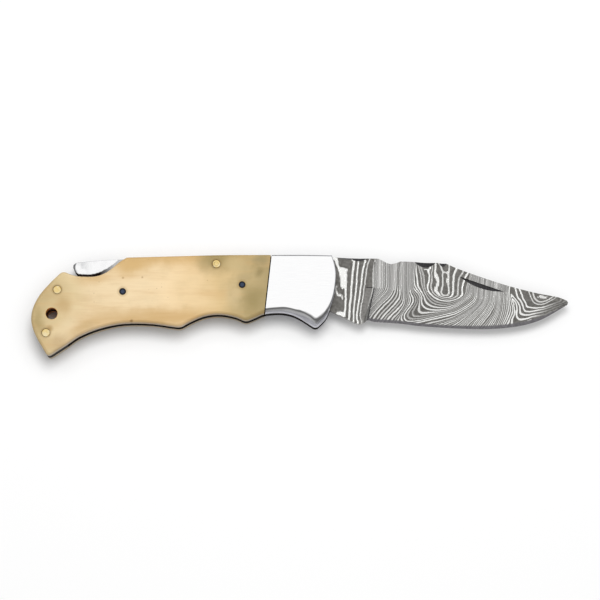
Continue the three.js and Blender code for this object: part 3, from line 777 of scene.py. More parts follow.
# Lock bar, with its thumb end eased by hand
lockBarLook = {
    "edgeBevel": 0.28,
    "thumbBevel": 0.75,
    "thumbStart": -78,        # millimetres from the pivot; the bevel grows from here
    "thumbFull": -82,
    "bright": "#fafafa",
    "dull": "#a4a5a8",
    "patchesPerMm": 0.24,     # of the dull patches
    "wornX": (-86.0, -90.5),  # where they begin to grow stronger and are at their strongest
    "wornShares": (0.06, 0.6),
    "edge": "#b0b1b5",
    "edgeLevelness": (0.96, 0.8),      # where the flat side ends and the edge's grey is full
    # painted dark reflection on the rounded thumb end
    "thumbEndReflection": "#38383c",
    "thumbEndReflectionX": (-88.5, -90.5),
    "thumbEndReflectionShare": 0.85,
    "thumbRound": (-87.9, 9.2, 3.9),   # x, y and radius of the thumb end's round
    # the thumb recess's edge as a curve: its lowest place (x, y), and how fast it rises
    "recessLowest": (-87.0, 5.8),
    "recessRise": 0.039,
    # painted shade where the bar meets the bone's thumb recess
    "recessShade": "#231a17",
    "recessShadePerMm": 1.1,
    "recessShadeWander": 0.6,        # millimetres by which its edge wanders
    "recessShadeHeight": (0.55, 0.2),         # above that curve, where it begins and is full
    "recessShadeThins": (5.0, 10.5),          # right of the lowest place, where it begins to thin
    "recessShadeLeast": 0.4,
}
# its sharp edges are bevelled, wider and wider towards the thumb end
lockBar = copyOfNode("lock_bar", "lockBar")
weights = lockBar.data.attributes.new("bevel_weight_edge", "FLOAT", "EDGE")
lowest = lockBarLook["edgeBevel"] / lockBarLook["thumbBevel"]
for edge in lockBar.data.edges:
    x = sum(lockBar.data.vertices[i].co.x for i in edge.vertices) / 2 / mm
    reach = lockBarLook["thumbStart"] - x
    reach /= lockBarLook["thumbStart"] - lockBarLook["thumbFull"]
    weights.data[edge.index].value = lowest + (1 - lowest) * max(0, min(1, reach))
workOn(lockBar)
bpy.ops.object.mode_set(mode="EDIT")
bpy.ops.mesh.select_mode(type="EDGE")
bpy.ops.mesh.select_all(action="DESELECT")
bpy.ops.mesh.edges_select_sharp(sharpness=math.radians(50))
shape = bmesh.from_edit_mesh(lockBar.data)
weightLayer = shape.edges.layers.float["bevel_weight_edge"]
for edge in shape.edges:
    if not edge.select:
        edge[weightLayer] = 0
bmesh.update_edit_mesh(lockBar.data)
bpy.ops.object.mode_set(mode="OBJECT")
applyModifier(lockBar, "BEVEL", width=lockBarLook["thumbBevel"] * mm, segments=4,
              limit_method="WEIGHT")
smoothShading(lockBar, 30)
finishPiece(lockBar, "lock_bar", "polished_steel", "lock_bar")


# Carbon steel, polished by hand on the lock bar: bright, with dull spots at the thumb end
def polishedBarSteel():
    material, tree, shader, place = newMaterial("hand-polished carbon steel")
    spot = addNode(tree, "SeparateXYZ", {0: place}).node.outputs
    start, full = lockBarLook["wornX"]
    least, most = lockBarLook["wornShares"]
    worn = addNode(tree, "MapRange", {
        "Value": spot["X"], "From Min": start, "From Max": full, "To Min": least, "To Max": most})
    patch = addNode(tree, "TexNoise", {
        "Vector": place, "Scale": lockBarLook["patchesPerMm"], "Detail": 2.0, "Roughness": 0.5})
    dull = addNode(tree, "MapRange", {
        "Value": patch, "From Min": 0.44, "From Max": 0.62}, interpolation_type="SMOOTHSTEP")
    dull = addNode(tree, "Math", {0: dull, 1: worn}, operation="MULTIPLY")
    colour = addNode(tree, "Mix", {
        "Factor": dull, "A": linear(lockBarLook["bright"]), "B": linear(lockBarLook["dull"])},
        "Result", data_type="RGBA")

    # its eased edges are duller, and painted nearly black where the thumb end is rounded, for its dark
    # reflection
    flatEnd, edgeStart = lockBarLook["edgeLevelness"]
    onEdge = addNode(tree, "MapRange", {
        "Value": levelness(tree), "From Min": flatEnd, "From Max": edgeStart})
    start, full = lockBarLook["thumbEndReflectionX"]
    atThumb = addNode(tree, "MapRange", {
        "Value": spot["X"], "From Min": start, "From Max": full})
    endX, endY, endRadius = lockBarLook["thumbRound"]
    atEnd = addNode(tree, "MapRange", {
        "Value": fromAxis(tree, place, endX, endY), "From Min": endRadius - 0.75,
        "From Max": endRadius - 0.3, "To Max": lockBarLook["thumbEndReflectionShare"]})
    atEnd = addNode(tree, "Math", {0: atEnd, 1: atThumb}, operation="MULTIPLY")
    onEdge = addNode(tree, "Math", {0: onEdge, 1: atEnd}, operation="MAXIMUM")
    tone = addNode(tree, "Mix", {
        "Factor": atThumb, "A": linear(lockBarLook["edge"]), "B": linear(lockBarLook["thumbEndReflection"])},
        "Result", data_type="RGBA")
    colour = addNode(tree, "Mix", {"Factor": onEdge, "A": colour, "B": tone},
                     "Result", data_type="RGBA")

    # painted shade: a black line where the bar meets the bone's thumb recess
    lowestX, lowestY = lockBarLook["recessLowest"]
    along = addNode(tree, "Math", {0: spot["X"], 1: lowestX}, operation="SUBTRACT")
    rise = addNode(tree, "Math", {0: along, 1: along}, operation="MULTIPLY")
    rise = addNode(tree, "Math", {0: rise, 1: lockBarLook["recessRise"], 2: lowestY},
                   operation="MULTIPLY_ADD")
    above = addNode(tree, "Math", {0: spot["Y"], 1: rise}, operation="SUBTRACT")
    uneven = addNode(tree, "TexNoise", {
        "Vector": place, "Scale": lockBarLook["recessShadePerMm"], "Detail": 2.0})
    above = addNode(tree, "Math", {0: uneven, 1: -lockBarLook["recessShadeWander"], 2: above},
                    operation="MULTIPLY_ADD")
    start, full = lockBarLook["recessShadeHeight"]
    recessShade = addNode(tree, "MapRange", {"Value": above, "From Min": start, "From Max": full})
    start, full = lockBarLook["recessShadeThins"]
    thins = addNode(tree, "MapRange", {
        "Value": along, "From Min": start, "From Max": full,
        "To Min": 1.0, "To Max": lockBarLook["recessShadeLeast"]})
    recessShade = addNode(tree, "Math", {0: recessShade, 1: thins}, operation="MULTIPLY")
    colour = addNode(tree, "Mix", {"Factor": recessShade, "A": colour, "B": linear(lockBarLook["recessShade"])},
                     "Result", data_type="RGBA")
    tree.links.new(colour, shader.inputs["Base Color"])
    shader.inputs["Metallic"].default_value = 1
    gloss = addNode(tree, "Math", {0: dull, 1: 0.3, 2: 0.1}, operation="MULTIPLY_ADD")
    gloss = addNode(tree, "Math", {0: recessShade, 1: 0.4, 2: gloss}, operation="MULTIPLY_ADD")
    tree.links.new(gloss, shader.inputs["Roughness"])
    return material


lockBar.data.materials.append(polishedBarSteel())
print("lock bar made")


# Blade
bladeLook = {
    "edgeShare": 0.35,        # of the solid's edge thickness, which is blunter than a real one
    # file cuts across the spine's corners: middle x, width along the spine and depth down the face
    "fileCuts": [(15.1, 13.4, 0.7), (16.2, 7.2, 1.2), (41.6, 8.0, 2.0), (48.2, 2.8, 1.4)],
    "fileCutAcross": 1.15,    # how far each goes in across the spine
    "fileLength": 12,
    "fileSides": 96,
    "nickStart": Vector((54.3, 5.8)),
    "nickEnd": Vector((71.4, 0)),
    "nickBow": 1.7,
    "ground": [(0.35, "#6c6a66"), (0.65, "#868480")],      # etched dark
    "mottlePerMm": 1.1,
    "bright": [(0.35, "#bdbcb9"), (0.6, "#fbfbf8")],       # left bright by the etch
    "wobble": 0.14,           # millimetres by which the lines stray
    "wobblesPerMm": 0.9,
    "lineHalf": (0.21, 0.42), # half the width of a bright line, in millimetres
    "lineLimit": 0.25,        # which is at most this share of the distance between layers
    "lineSoftness": (1.25, 0.7),       # shares of that half, where a line begins and is full
    "finerX": (70.0, 88.0),   # towards the point the lines grow finer
    "finerShare": 0.8,
    # the last stretch before the point is nearly plain, by x less plainLean times y
    "plainX": (92.5, 96.5),
    "plainLean": 1.2,
    "plainShare": 0.2,
    "layersThrough": 2.2,     # layers in each millimetre of the thickness
    "metallic": 0.85,
    "relief": 0.02,           # height in millimetres by which the bright steel stands out
    # where the grinding begins, as x less a share of y, up to a height
    "plungeX": 21.56,
    "plungeLean": 0.2,
    "plungeTop": 1.7,
    # (count, tone) of close layers, from dark to bright
    "closeTones": [(0, 0.5), (9, 0.45), (12, 0.6), (13.5, 1.0), (15, 0.5), (21.5, 0.6),
                   (22.5, 0.8), (24.2, 0.1), (25.5, 0.8), (27, 0.5), (31, 0.5), (44, 0.5)],
    "closeGreys": [(0.3, "#8a8987"), (0.5, "#a5a4a2"), (0.72, "#c9c8c6"), (1, "#e6e5e3")],
    "closeGap": (0.85, 0.4),  # millimetres between layers, where the greys begin and are full
    "closeShare": 0.8,
    # painted shade at the step where the grinding begins
    "plungeShade": "#3a383c",
    "plungeShadeShare": 0.9,
    # the middle of each line of painted shade, and how far from it the line begins and is full: beside
    # the place where the grinding begins, and in height along the top of the grind
    "plungeShadeLines": [(0.2, 0.28, 0.14), (1.5, 0.24, 0.12)],
    "plungeShadeBelow": (1.6, 1.3),  # heights between which the first line ends
    "softShadeShare": 0.35,
    "softShadeReach": 3.0,         # millimetres beyond the place where the grinding begins
    "paleTang": "#a19f9c",
    # before the place where the grinding begins, from where to where the tang is paler
    "tangEnd": [(-3.0, -2.6), (-0.2, -0.35)],
    "honed": (0.2, 0.15),     # millimetres from the middle plane, where honing begins and is full
    "honedTones": [(0.3, "#6f6d70"), (0.7, "#807e81")],
    "filedTones": [(0.3, "#2e2d2f"), (0.7, "#4b4a4b")],
    "strokesPerMm": 4.0,      # of the file
    "strokeStretch": (1, 0.1, 0.1),
}

# Two steels forged together. Each row is a count of layers and the line on which it comes to
# the surface, in millimetres from the pivot. Bright steel shows at whole counts and dark steel
# between them; a half count is a ridge or a valley in the layers, and equal counts side by
# side are a layer that lies level. The flat tang and the ground blade are drawn apart.
bladeLayers = {
    "ricasso": [
        (1, [(7.9, 13.2), (8.1, 11.6), (8.3, 10), (8.8, 8.2), (9.2, 6.5), (9.3, 4.6), (9.5, 2.7),
             (10, 1.1)]),
        (1, [(11.8, 8.7), (11.7, 6.8), (11.7, 4.6), (11.5, 2.4), (11.3, 0.1), (11.2, -2.7),
             (11.1, -5.3), (11, -7.8), (10.9, -9.8)]),
        (1, [(9.2, 8.6), (10, 9), (10.9, 8.6), (11.7, 8.6)]),
        (1.5, [(9.8, 12.5), (10.1, 11.3), (10.5, 10), (10.8, 9.6)]),
        (1.5, [(12.8, 11.3), (12.8, 8.7), (12.7, 5.5), (12.5, 2.4), (12.3, -0.8), (12.2, -3.1)]),
        (0, [(7.8, 2.4), (7.7, 0.8), (8, -0.8), (8.4, -1.6), (9.4, -1.2), (9.9, -1.8), (10, -3)]),
        (0.5, [(8, 7.4), (8.3, 4.6), (8.7, 2.4), (9.1, 0.6), (10.3, -0.5), (10.6, -2.7),
             (10.5, -5.3), (9.8, -6.9), (7.9, -7.2)]),
        (1, [(8, -7.7), (9, -7.6), (10.1, -8.2), (11, -8.6)]),
        (1, [(8.4, -8.3), (9.5, -8.8), (10.8, -9.7)]),
        (2, [(14.6, 11.9), (14.4, 10), (14, 7.9), (13.8, 5.5), (13.6, 3.3), (13.4, 1.4),
             (13.3, -0.8), (13.2, -2.7), (12.9, -4.4), (12.7, -5.6), (12.7, -7.2), (12.6, -9.1),
             (12.5, -10.9)]),
        (3, [(16.1, 11.6), (15.9, 9.4), (15.7, 7.4), (15.5, 5.5), (15.4, 3), (15.2, 1.1),
             (15, -1.1), (14.7, -3.1), (14.5, -5.3), (14.3, -7.2), (14.2, -9.1), (14.3, -11.6)]),
        (4, [(19, 11.7), (18.3, 10), (17.8, 8.1), (17.5, 5.9), (17.3, 3.6), (17, 1.4),
             (16.7, -0.5), (16.5, -2.4), (16.1, -4.6), (15.8, -6.9), (15.5, -9.1), (15.6, -10.9),
             (16.2, -12)]),
        (5, [(20.6, 12.7), (19.7, 10.9), (19.2, 9), (19, 7.1), (18.7, 4.9), (18.4, 2.7),
             (18, 0.8), (17.9, -1.1), (17.5, -3.4), (17, -5.6), (16.8, -7.5), (16.7, -9.3),
             (16.9, -10.5), (17.5, -11.5)]),
        (6, [(23.2, 13.8), (22.9, 12.7), (22.2, 10.6), (21.9, 8.1), (21.7, 5.5), (21.7, 3.3),
             (21.8, 1.4), (21.4, -0.4), (20.9, -2.1), (20.4, -4), (19.9, -6.1), (19.5, -8),
             (19.1, -9.9), (18.6, -11.6), (18, -12.9)]),
    ],
    "ground": [
        (9, [(23.2, 13.8), (22.9, 12.7), (22.2, 10.6), (21.9, 8.1), (21.7, 5.5), (21.7, 3.3),
             (21.7, 1.6), (20.9, 0.1), (19.6, -1.5)]),
        (14, [(24.9, 13.8), (24.6, 12.2), (24.6, 10), (24.6, 7.1), (24.6, 4.3), (24.6, 1.4),
             (23.7, -0.2), (22.4, -1.8), (21.2, -3.2), (19.9, -4.6)]),
        (18, [(27.8, 13.2), (27.5, 10.3), (27.5, 7.1), (27.5, 3.9), (27.5, 1.4), (26.5, -0.4),
             (24.9, -1.9), (23.1, -3.9), (21.3, -5.8), (19.9, -7.5)]),
        (22, [(30.3, 13.2), (30, 10.6), (29.9, 8.1), (29.7, 5.5), (29.6, 3.3), (29.4, 1.2),
             (28.7, -0.5), (27.5, -2.1), (25.4, -4), (23.5, -5.9), (21.8, -7.8), (20.6, -9.4),
             (19.6, -11.3)]),
        (25, [(32.4, 13.8), (32.4, 11.6), (31.9, 8.7), (31.8, 5.5), (31.8, 2.4), (31.9, -0.2),
             (31.7, -2.3), (30.6, -3.8), (29.3, -5.3), (27.8, -6.9), (26.2, -8.5), (24.9, -10.1),
             (24, -11.5), (23.1, -13.2)]),
        (26, [(32.8, 13.8), (32.8, 11.7), (32.6, 5.5), (32.5, 1.7), (32.5, -1.5), (32.3, -3.2),
             (31.2, -4.7), (30, -6.1), (28.6, -7.5), (27, -9.1), (25.8, -10.6), (25.1, -11.6),
             (24.2, -13.2)]),
        (27, [(33.3, 13.8), (33.3, 11.7), (33.1, 5.5), (33.1, 1.7), (33.1, -2.1), (32.8, -4.3),
             (31.6, -5.9), (30.1, -7.4), (28.2, -9.2), (27, -10.7), (26.3, -11.9),
             (25.4, -13.2)]),
        (28, [(33.8, 13.8), (33.8, 11.6), (33.6, 5.5), (33.6, 1.7), (33.7, -2.4), (33.4, -4.8),
             (32.4, -6.6), (31.1, -8.3), (29.5, -9.7), (28.5, -11.3), (27.8, -12.3),
             (27.2, -13.4)]),
        (29, [(34.2, 13.8), (34.2, 11.6), (34.1, 5.5), (34.1, 1.7), (34.3, -2.7), (34, -5.1),
             (33, -6.9), (32.3, -8.1), (31.1, -9.4), (30, -10.8), (29.2, -12.1), (28.6, -13.4)]),
        (30, [(34.6, 13.8), (34.6, 11.6), (34.5, 5.5), (34.6, 1.7), (34.9, -2.1), (35, -3.7),
             (34.4, -5.3), (33.5, -6.8), (32.7, -8.1), (31.7, -9.4), (30.9, -10.7), (30.3, -12),
             (29.8, -13.4)]),
        (31, [(35, 13.8), (35, 11.6), (35, 5.5), (35, 1.4), (35.3, -1.3), (35.7, -2.7),
             (35.7, -3.8), (35.3, -4.7), (34.6, -5.7), (33.8, -6.6), (33, -7.8), (32.4, -8.9),
             (32.3, -10.1), (32.8, -11.2), (33.8, -11.9), (35.3, -12), (37.5, -11.7),
             (40.7, -11.1), (45.4, -10.1), (49.5, -9.2), (52.7, -8.4), (55.4, -7), (58, -5.4),
             (59.9, -3.9), (60.7, -2.6), (60.9, -0.8)]),
        (32, [(35.5, 13.8), (35.5, 11.6), (35.4, 5.5), (35.5, 1.4), (36, -1), (36.8, -2.3),
             (36.9, -3.4), (36.6, -4.4), (35.7, -5.8), (34.6, -7.2), (33.8, -8.3), (33.4, -9.3),
             (33.5, -10.2), (34.1, -11), (35.3, -11.3), (38.2, -11.1), (41.3, -10.5),
             (45.4, -9.5), (49.5, -8.5), (52.7, -7.7), (55.4, -6.4), (57.6, -5), (59.4, -3.5),
             (60.2, -2.3), (60.4, -0.2)]),
        (33, [(36, 13.8), (36, 11.5), (35.9, 5.5), (36, 2.4), (36.3, 0.8), (36.9, -0.7),
             (37.7, -2.1), (37.9, -3.2), (37.7, -4.3), (37.1, -5.3), (35.8, -6.9), (34.9, -8),
             (34.6, -8.9), (34.9, -9.8), (35.8, -10.3), (38.5, -10.3), (40.7, -9.9), (45.4, -8.9),
             (49.5, -8), (52.7, -7.1), (55.3, -5.8), (57.3, -4.4), (58.9, -3.1), (59.8, -1.9),
             (60, -0.2)]),
        (34, [(36.4, 13.8), (36.4, 11.4), (36.3, 5.5), (36.2, 3), (36.4, 1.4), (36.8, 0.2),
             (37.6, -0.8), (38.5, -2.1), (38.7, -3.4), (38.2, -4.7), (37.1, -6.6), (36.4, -7.7),
             (36.4, -8.5), (37, -9.3), (38.5, -9.5), (42.3, -9), (45.4, -8.5), (49.5, -7.5),
             (52.7, -6.6), (55.1, -5.2), (57, -3.9), (58.4, -2.7), (59.3, -1.6), (59.5, 0.1)]),
        (35, [(36.9, 13.8), (36.9, 11.3), (36.7, 8.7), (36.6, 5.5), (36.7, 3), (36.9, 1.4),
             (37.9, 0.1), (39, -1.1), (39.4, -2.3), (39.3, -4), (39, -5.9), (38.9, -7.2),
             (39.5, -8), (41, -8.2), (43.8, -7.9), (47.6, -7.6), (50.1, -7.1), (52.7, -6),
             (55, -4.6), (56.7, -3.4), (58, -2.4), (58.8, -1.3), (59.1, 0.4)]),
        (36, [(38, 13.8), (37.6, 11.6), (37.1, 8.7), (37.1, 6.8), (37.2, 4.6), (37.4, 2.4),
             (38.5, 0.6), (39.5, -0.8), (40, -2.1), (39.9, -3.7), (40.2, -5), (41.1, -5.9),
             (42.6, -6.7), (45.1, -7), (47.9, -6.9), (51.1, -6.3), (52.7, -5.5), (54.8, -4.2),
             (56.4, -3.1), (57.6, -2.1), (58.4, -1), (58.7, 0.8)]),
        (37, [(38.3, 13.8), (38, 11.6), (37.9, 9.7), (38, 7.4), (38.3, 5.5), (38.5, 3.6),
             (38.7, 2), (39.6, 0.4), (40.4, -1), (41.1, -2.3), (41.4, -3.4), (42.3, -4.6),
             (43.6, -5.4), (45.4, -5.9), (48.3, -6.1), (51.1, -5.5), (52.7, -4.9), (54.6, -3.8),
             (56.1, -2.7), (57.2, -1.8), (58, -0.7), (58.2, 1.1)]),
        (38, [(38.7, 13.8), (38.4, 11.6), (39, 9.4), (39.6, 7.3), (39.9, 5.5), (40.1, 3.3),
             (40.6, 1.2), (41.3, -0.5), (42.1, -2.1), (43.1, -3.4), (44.3, -4.4), (46.1, -5),
             (48.6, -5.3), (51.1, -4.9), (52.7, -4.4), (54.3, -3.4), (55.8, -2.5), (57, -1.5),
             (57.6, -0.2), (57.8, 1.4), (58.3, 3), (59.1, 5.5), (60, 8.4)]),
        (39, [(39.4, 13.8), (39.4, 11.3), (39.7, 9.4), (40.3, 7.6), (40.7, 5.9), (40.9, 3.9),
             (41.1, 2), (41.6, 0.3), (42.6, -1.5), (43.7, -2.7), (45.1, -3.7), (47, -4.3),
             (49.2, -4.5), (51.4, -4.3), (52.7, -3.8), (54.2, -3.1), (55.6, -2.3), (56.7, -1.2),
             (57.3, 0.1), (57.4, 1.7), (58, 3.3), (58.6, 5.5), (59.4, 8.7)]),
        (40, [(43.6, 13.8), (43.5, 9.8), (43.3, 7.4), (43.1, 5.5), (42.9, 3.8), (42.3, 2.2),
             (42.3, 1.1), (42.8, -0.2), (44, -1.6), (45.7, -2.7), (47.6, -3.4), (49.8, -3.6),
             (51.7, -3.4), (52.7, -3.1), (53.9, -2.6), (55.1, -1.9), (55.6, -1.2), (55.3, 0.8),
             (55.6, 2.4), (56.1, 3.9), (56.6, 5.5), (57.6, 6.9), (58.5, 9.4)]),
        (40, [(40.9, 8.3), (41.6, 8.6), (42.5, 8), (42.6, 7.1), (43.3, 6.7)]),
        (41, [(44.2, 13.8), (44.1, 9.8), (44.3, 8.7), (43.7, 7.1), (44, 5.5), (43.8, 3.6),
             (43.5, 2.4), (43.8, 1.1), (44.5, -0.5), (45.9, -1.6), (47.6, -2.5), (49.8, -2.9),
             (51.7, -2.6), (53, -2.1), (53.8, -1.3), (53.9, 0.1), (53.9, 1.7), (54.1, 3.9),
             (54.4, 5.3), (55, 6.2), (55.9, 7.6), (56.8, 10.3)]),
        (42, [(45.3, 13.8), (45.3, 10), (45.2, 8.4), (45, 7.1), (45.1, 5.9), (45.8, 4.6),
             (45.9, 3.3), (45.7, 2.4), (45, 1.3), (44.9, 0.6), (45.3, -0.4), (46.1, -1.1),
             (47.3, -1.8), (49.2, -2.3), (50.8, -2.2), (51.6, -1.7), (51.9, -0.8), (52.1, 0.8),
             (52.1, 3), (52.2, 5.2), (52.5, 7.1), (53.3, 8.5), (53.9, 11.9)]),
        (42, [(45.8, 6.7), (46.2, 5.5), (46.5, 4.1), (46.4, 2.4), (45.7, 1.1), (45.6, 0.3),
             (46.2, -0.5), (47, -1)]),
        (43, [(46.7, 13.8), (46.7, 10.9), (47.3, 9.7), (47.9, 7.9), (48.1, 5.5), (48.2, 3.3),
             (47.8, 1.1), (47.2, -0.4), (47.6, -1.1), (48.4, -1.6), (49.3, -1.8), (50.1, -1.4),
             (50.5, -0.5), (50.3, 1.7), (50.5, 5.5), (50.6, 7.8), (50.5, 10), (50.5, 13.8)]),
        (43, [(50.1, 6.5), (49.7, 5.2), (49.5, 4.1), (49.8, 2.8), (50.2, 2)]),
        (43, [(48.1, 7.6), (49.2, 7.4), (50.5, 7.6)]),
        (43.5, [(49, 10.3), (49.1, 8.4)]),
        (43.5, [(48.9, 5.9), (48.8, 4.3), (49, 2.4), (48.8, -0.2)]),
        (30, [(37.5, -13.7), (40.2, -12.9), (43.2, -12), (47, -11.2), (50.1, -10.4), (52.7, -9.4),
             (55.4, -7.9), (58.2, -6.2), (60.2, -4.5), (61.1, -3.1), (61.3, -0.8)]),
        (28, [(42.3, -14.4), (45.1, -13.2), (47.9, -12.1), (50.1, -11.3), (52.7, -10.5),
             (55.8, -8.8), (58.6, -6.9), (60.8, -5), (61.9, -3.1), (62.1, -0.8)]),
        (26, [(45.4, -14.5), (48.6, -13.3), (51.1, -12.3), (52.7, -11.6), (55.4, -9.9),
             (58.3, -8), (60.5, -6.2), (62.2, -4.3), (62.7, -2.4), (62.9, -0.2)]),
        (24, [(49.8, -15.1), (52.1, -13.7), (54.8, -12), (57.3, -9.8), (59.5, -7.7), (61.7, -5.5),
             (63.2, -3.7), (63.6, -1.8), (63.7, 0.1)]),
        (20, [(54.3, -15.5), (55.9, -13.9), (58.6, -11.5), (60.8, -9.3), (62.7, -7.2),
             (64.1, -5.3), (65, -3.4), (65.3, -1.5), (65.3, 0.1)]),
        (14, [(60.2, -15.5), (61.4, -14), (62.4, -12.7), (63.8, -10.9), (65.2, -9.1),
             (66.3, -7.4), (67.2, -5.8), (67.7, -4), (67.7, -2.1), (67.7, -0.2)]),
        (13, [(61.6, -15.5), (62.5, -14), (63.2, -13.1), (64.6, -11.6), (66.2, -9.7),
             (67.3, -7.8), (67.9, -5.9), (68.1, -4), (68.2, -2.1), (68.1, -0.2)]),
        (12, [(62.6, -15.5), (63.6, -14), (64.6, -12.6), (65.8, -10.9), (67.1, -9.1), (68, -7.2),
             (68.4, -5.6), (68.6, -4), (68.6, -2.1), (68.5, -0.2)]),
        (8, [(66.3, -15.5), (67.1, -13.9), (68.2, -12), (69.3, -9.7), (69.9, -7.2), (70.3, -4.6),
             (70.6, -2.1), (70.6, -0.2)]),
        (3, [(73.1, 0.4), (73.2, -2.7), (73.4, -4.6), (73.7, -6.6), (73.4, -8.5), (72.5, -10.4),
             (71.7, -12), (71.1, -13.2), (70.6, -14.8)]),
        (36, [(60.5, 9.4), (59.7, 6.5), (59.2, 4.6), (58.7, 2.4)]),
        (30, [(62.5, 8.7), (61.9, 5.5), (61.5, 2.4), (61.4, -0.8)]),
        (20, [(66.3, 7.8), (65.8, 4.6), (65.5, 1.1)]),
        (14, [(68.8, 6.8), (68.2, 3.6), (67.8, 0.1)]),
        (8, [(71.6, 5.9), (71.1, 3), (70.7, 0.1)]),
        (3, [(73.9, 5.5), (73.4, 3), (73.2, 0.8)]),
        (2, [(73.9, -0.8), (74, -3.1), (74.3, -4.6), (74.6, -5.9), (74.5, -7.5), (74.2, -8.8),
             (73.6, -9.9), (73.1, -11.2), (72.5, -12.2), (71.9, -13.3), (71.5, -14.8)]),
        (1, [(74.2, -2.3), (74.4, -3.7), (74.8, -5), (75, -6.6), (75.2, -8.3), (74.6, -9.6),
             (74.2, -10.9), (74.2, -12), (74.4, -13.1), (74.5, -14.8)]),
        (0.5, [(75, -3.4), (75.4, -5), (75.7, -6.6), (75.7, -8.1), (75.3, -9.7), (75.3, -11.3),
             (75.8, -12.9), (76.2, -14.8)]),
        (1, [(74.5, -2.1), (75.3, -3.2), (75.9, -4.3), (76.2, -5.8), (76.2, -7.2), (75.9, -8.6),
             (76.1, -9.6), (76.7, -10.4), (77.6, -10.6), (79.1, -10.4), (80.6, -10.1),
             (82.5, -9.3), (86.9, -8.3), (91.7, -6.3), (94.8, -4.8)]),
        (2, [(74.3, -1.6), (75.3, -2.9), (76.3, -3.9), (77.1, -5.3), (77.3, -6.9), (77.2, -8),
             (77.6, -8.5), (78.8, -8.8), (80.3, -8.8), (82.6, -8.4), (86.9, -7.4), (91.7, -5.6),
             (94.8, -4.3)]),
        (2.5, [(74.7, 4.9), (74.3, 2.4), (74.4, -0.5)]),
        (3, [(75.7, 4.6), (75.5, 2.4), (75.8, 1.1), (76.1, -0.8), (76.5, -2.3), (77.6, -3.4),
             (78.4, -5.3), (78.8, -6.9), (79.6, -7.5), (81.3, -7.6), (83.5, -7.1), (86.9, -6.4),
             (90.7, -5.1), (94.2, -3.9)]),
        (4, [(76.9, 3.9), (76.8, 2), (77.2, 0.8), (78, -1), (78.4, -2.7), (79.3, -3.9),
             (79.6, -5.3), (80.6, -6), (82.5, -6.2), (84.4, -6.2), (86.5, -5.9), (90.1, -4.6),
             (93.2, -3.7)]),
        (5, [(80.3, 2.4), (80.6, 0.8), (81, -0.5), (81.6, -2.3), (82.2, -3.6), (83.5, -4.6),
             (85.4, -4.8), (87.6, -4.1), (89.5, -3), (90.6, -2.3), (91.5, -1.1), (92, 0.1)]),
        (6, [(81.9, 1.4), (82.2, -0.2), (82.4, -1.3), (83, -2.7), (84.1, -3.7), (85.4, -4),
             (86.9, -3.7), (88.5, -2.8), (89.8, -2.3), (90.6, -1.3), (90.9, -0.2)]),
        (7, [(83.8, -1.8), (84.3, -2.3), (85.4, -2.2), (86.2, -2.6), (87.1, -2.5), (88.2, -2.1)]),
        (7, [(84.7, -1.5), (85.6, -1.6), (86.5, -1.9), (87.5, -1.8)]),
        (0, [(77.2, -12.5), (79.7, -11.4), (81.9, -10.2)]),
    ],
}


def isInNick(point):
    # whether a place in millimetres is in the nail nick, or just outside its edge
    chord = bladeLook["nickEnd"] - bladeLook["nickStart"]
    along = (point.xy - bladeLook["nickStart"]).dot(chord.normalized())
    across = (point.xy - bladeLook["nickStart"]).dot(Vector((chord.y, -chord.x)).normalized())
    return (point.z > middleZ / mm and -0.2 < along < chord.length + 0.2
            and -0.1 < across < bladeLook["nickBow"] + 0.2)


def spineHeightAt(piece, x):
    # the highest place of the piece's outline near x
    highest = -math.inf
    for edge in piece.data.edges:
        a, b = (piece.data.vertices[i].co for i in edge.vertices)
        if min(a.x, b.x) <= x <= max(a.x, b.x) and abs(a.x - b.x) > 1e-7:
            highest = max(highest, a.y + (b.y - a.y) * (x - a.x) / (b.x - a.x))
    return highest


blade = copyOfNode("blade", "blade_ground")
bladeLow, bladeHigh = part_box("blade")
halfThickness = (bladeHigh.z - bladeLow.z) / 2
# the cutting edge, which is blunt in the solid
bpy.ops.object.mode_set(mode="EDIT")
selectIn(blade, "verts", lambda v: abs(v.co.z - middleZ) < 0.2 * mm and v.co.y < 0)
bpy.ops.transform.resize(value=(1, 1, bladeLook["edgeShare"]), center_override=(0, 0, middleZ))
bpy.ops.object.mode_set(mode="OBJECT")
# a file cut is a shallow arc: a large cylinder laid across the corner, sunk in by its sag
cutters = []
for middle, width, depth in bladeLook["fileCuts"]:
    across = bladeLook["fileCutAcross"]
    sag = depth * across / math.hypot(depth, across)
    radius = (width ** 2 / 4 + sag ** 2) / (2 * sag)
    spineHeight = spineHeightAt(blade, middle * mm)
    for side in (1, -1):
        corner = Vector((middle * mm, spineHeight, middleZ + side * halfThickness))
        outward = Vector((0, across, side * depth)).normalized()
        bpy.ops.mesh.primitive_cylinder_add(
            vertices=bladeLook["fileSides"], radius=radius * mm,
            depth=bladeLook["fileLength"] * mm, location=corner + outward * (radius - sag) * mm,
            rotation=(math.atan2(outward.z, outward.y), 0, 0))
        cutters.append(bpy.context.object)
for cutter in cutters:
    cutAway(blade, cutter)
# the file cuts' faces are high on the blade and lean both up and out; the spine faces only up
filedMark = blade.data.attributes.new("filed", "INT", "FACE")
for face in blade.data.polygons:
    isFiled = face.center.y > 8 * mm and abs(face.normal.z) > 0.3 and face.normal.y > 0.3
    isNick = all(isInNick(blade.data.vertices[i].co / mm) for i in face.vertices)
    isSpine = abs(face.normal.z) < 0.1 and face.normal.y > 0.5
    filedMark.data[face.index].value = isFiled or (isNick and not isSpine)

